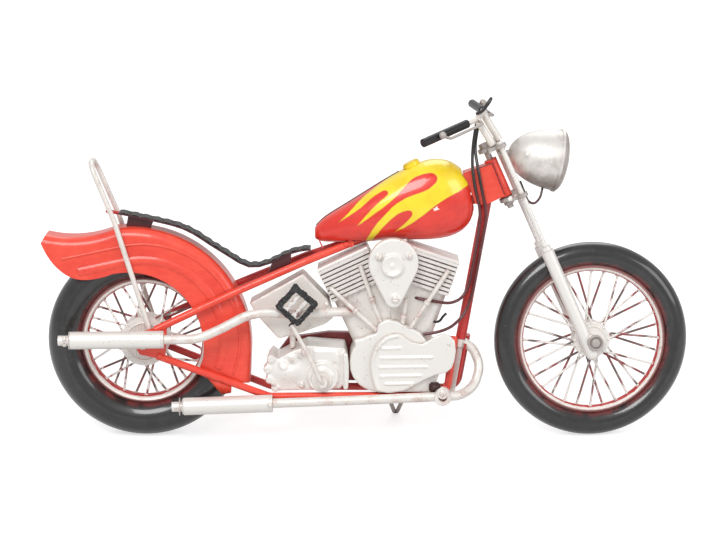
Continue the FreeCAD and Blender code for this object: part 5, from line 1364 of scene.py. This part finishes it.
DISH = [(6.9, -0.3), (6.7, 0.7), (6.2, 1.15), (5.6, 1.1), (4.8, 0.75), (3.8, 0.45), (2.6, 0.2), (1.8, 0.15),
        (1.3, 0.5), (0.8, 0.65), (0.2, 0.7)]
BOSS = [(3.68, -0.3), (3.52, 0.5), (3.12, 0.7), (2.64, 0.4), (1.92, 0.35), (1.6, 1.1), (0.96, 1.3),
        (0.24, 1.32)]
KICK_RING = [(6.4, -0.3), (6.3, 0.4), (5.8, 0.8), (5.1, 0.7), (4.6, 0.25), (3.6, 0.2)]
KNOB = [(2.9, -0.3), (2.8, 0.9), (2.3, 1.4), (1.5, 1.6), (0.3, 1.65)]
bowls = [
    turned_bowl("cleaner_dish", "air_cleaner", (15.7, -25, 110.2), DISH, bright_silver),
    turned_bowl("flange_boss", "front_exhaust_pipe", (46.8, -27, 29.6), BOSS, baked_silver),
    turned_bowl("kick_ring", "gearbox", (-27.7, -16, 38.2), KICK_RING, bright_silver),
    turned_bowl("filler_knob", "gearbox", (-37.4, -16, 55.6), KNOB, warm_silver),
]
print("turned bowls:", [bowl.name for bowl in bowls])

# %% [markdown]
# ## Rods, the cable's stub and the neck's shade lines
# Two short rods stand at the engine, the stub of a cable sticks out of the front cylinder, and thin dark
# lines of painted shade run along the neck's edges. All are wires. The stub's root and the neck's lines
# are looked up on the surface, so the stub starts on its cylinder and the lines lie on the neck.

# %% Rods, the cable's stub and the neck's shade lines
def upright_on(node_name, rough_place):
    """The nearest place on a node, in upright millimetres."""
    return UPRIGHT.inverted() @ on_surface(node_name, rough_place)[0]


MOUNT_RODS = [[(61.5, -4.5, 58), (56.6, -5, 33)], [(50.4, -15.5, 42), (49.2, -15.5, 34)]]
wires("mount_rods", MOUNT_RODS, 0.8, crimson_and_shade_enamel, "frame")
STUB = [(43.6, -9.6, 72.6), (45.6, -10.4, 73.8), (47.2, -10.8, 76.6), (49.2, -11, 78.4)]
stub_root = upright_on("front_cylinder", (42.5, -9, 72.4))
wires("cable_stub", [[stub_root, *STUB]], 0.8, black_enamel, "frame")
# Lines of painted shade along the neck's front and top edges.
NECK_LINES = [
    [(78.4, -8, 173), (82, -8, 163), (86, -8, 153)],
    [(66.4, -8, 169.5), (72.4, -8, 171.6), (78.0, -8, 173.4)],
]
neck_shade_lines = [[upright_on("neck_and_backbone", spot) for spot in line] for line in NECK_LINES]
wires("neck_shade_lines", neck_shade_lines, 0.35, shaded_red_enamel, "frame")
print("the cable's stub leaves its cylinder at", list(stub_root))

# %% [markdown]
# ## Hoops and the axle's cup
# Thin hoops mark the ends of both mufflers, and a cup closes the right end of the front axle. The hoops are
# closed wires, and the cup is turned like the dish.

# %% Hoops on the mufflers and the front axle's end
def hoop(centre, radius):
    """Places round a tube that runs fore and aft."""
    ahead, across, up = centre
    return [(ahead, across + out, up + rise) for out, rise in round_a_middle(radius, 20)]


HOOP_RADIUS = 5.3
hoops = [
    hoop((-125.2, -30, 65.6), HOOP_RADIUS),
    hoop((-181.6, -30, 65.0), HOOP_RADIUS),
    hoop((-59.4, -22, 24.0), HOOP_RADIUS),
    hoop((-115.2, -22, 22.0), HOOP_RADIUS - 0.05),
]
wires("muffler_hoops", hoops, 0.25, brown_silver, "frame", closed=True)
AXLE_CUP = [(5.0, -3.0), (4.9, -0.4), (4.5, 0.1), (3.9, 0.0), (3.6, -1.0), (2.7, -1.0), (2.5, 0.6),
            (1.6, 0.9), (0.3, 0.95)]
axle_end = UPRIGHT.inverted() @ STEERED @ Vector((FRONT_WHEEL[0], -20.5, FRONT_WHEEL[2]))
axle_cup = turned_bowl("front_axle_cup", "front_axle", axle_end, AXLE_CUP, dull_and_shaded_silver, "fork")
print(len(hoops), "hoops are on, and", axle_cup.name, "has", len(axle_cup.data.polygons), "faces")

# %% [markdown]
# ## The floor
# The floor is a plain pale sheet that keeps the model's shadow. To make it white in the picture, it glows
# for the camera, and a little for reflections, so it adds no soft light to the model. The Light Path node
# tells which kind of ray is looking.

# %% Floor
FLOOR_REACH = 8
PAPER_GREY = 0.62
CAMERA_GLOW = 0.62
GLOSSY_GLOW = 0.2
corners = [(x * FLOOR_REACH, y * FLOOR_REACH, 0) for x, y in ((-1, -1), (1, -1), (1, 1), (-1, 1))]
floor_mesh = bpy.data.meshes.new("floor")
floor_mesh.from_pydata(corners, [], [(0, 1, 2, 3)])
floor = bpy.data.objects.new("floor", floor_mesh)
scene.collection.objects.link(floor)
floor_finish = Finish("floor_paper")
seen = floor_finish.node("ShaderNodeLightPath", {}, {}, "Is Camera Ray")
glossy = floor_finish.node("ShaderNodeLightPath", {}, {}, "Is Glossy Ray")
floor_finish.set(
    base_color=(PAPER_GREY, PAPER_GREY, PAPER_GREY, 1),
    roughness=0.9,
    emission_color=(1, 1, 1, 1),
    emission_strength=seen * CAMERA_GLOW + glossy * GLOSSY_GLOW,
)
floor_finish.feed(floor_finish.shader.inputs["Specular IOR Level"], 0.0)
wear(floor, floor_finish.material)
print("floor is", 2 * FLOOR_REACH, "m wide")

# %% [markdown]
# ## Lamps and world
# A white studio: one large soft lamp above and in front, weaker ones from the side and from behind, and a
# plain world. Large lamps give soft shadows and broad highlights. The world looks white to the camera and
# lights the model less, so that pale paint isn't washed out.

# %% Lamps and world
MODEL_MIDDLE = Vector((0, 0, 0.1))


def soft_lamp(name, place_m, size, power):
    """A square area lamp that looks at the model."""
    data = bpy.data.lights.new(name, "AREA")
    data.size = size
    data.energy = power
    lamp = bpy.data.objects.new(name, data)
    scene.collection.objects.link(lamp)
    lamp.location = place_m
    lamp.rotation_euler = (MODEL_MIDDLE - lamp.location).to_track_quat("-Z", "Y").to_euler()


soft_lamp("key_lamp", (-0.5, -1.5, 1.7), 1.0, 24)
soft_lamp("fill_lamp", (1.6, -1.0, 0.9), 0.9, 7)
soft_lamp("back_lamp", (0.2, 1.5, 1.5), 1.2, 9)
WORLD_LIGHT = 0.6
WORLD_SEEN = 1.0
world = bpy.data.worlds.new("studio")
scene.world = world
world.use_nodes = True
background = world.node_tree.nodes["Background"]
background.inputs["Color"].default_value = (1, 1, 1, 1)
ray = world.node_tree.nodes.new("ShaderNodeLightPath")
strength = world.node_tree.nodes.new("ShaderNodeMapRange")
strength.inputs["To Min"].default_value = WORLD_LIGHT
strength.inputs["To Max"].default_value = WORLD_SEEN
world.node_tree.links.new(ray.outputs["Is Camera Ray"], strength.inputs["Value"])
world.node_tree.links.new(strength.outputs["Result"], background.inputs["Strength"])

# %% [markdown] ## The end
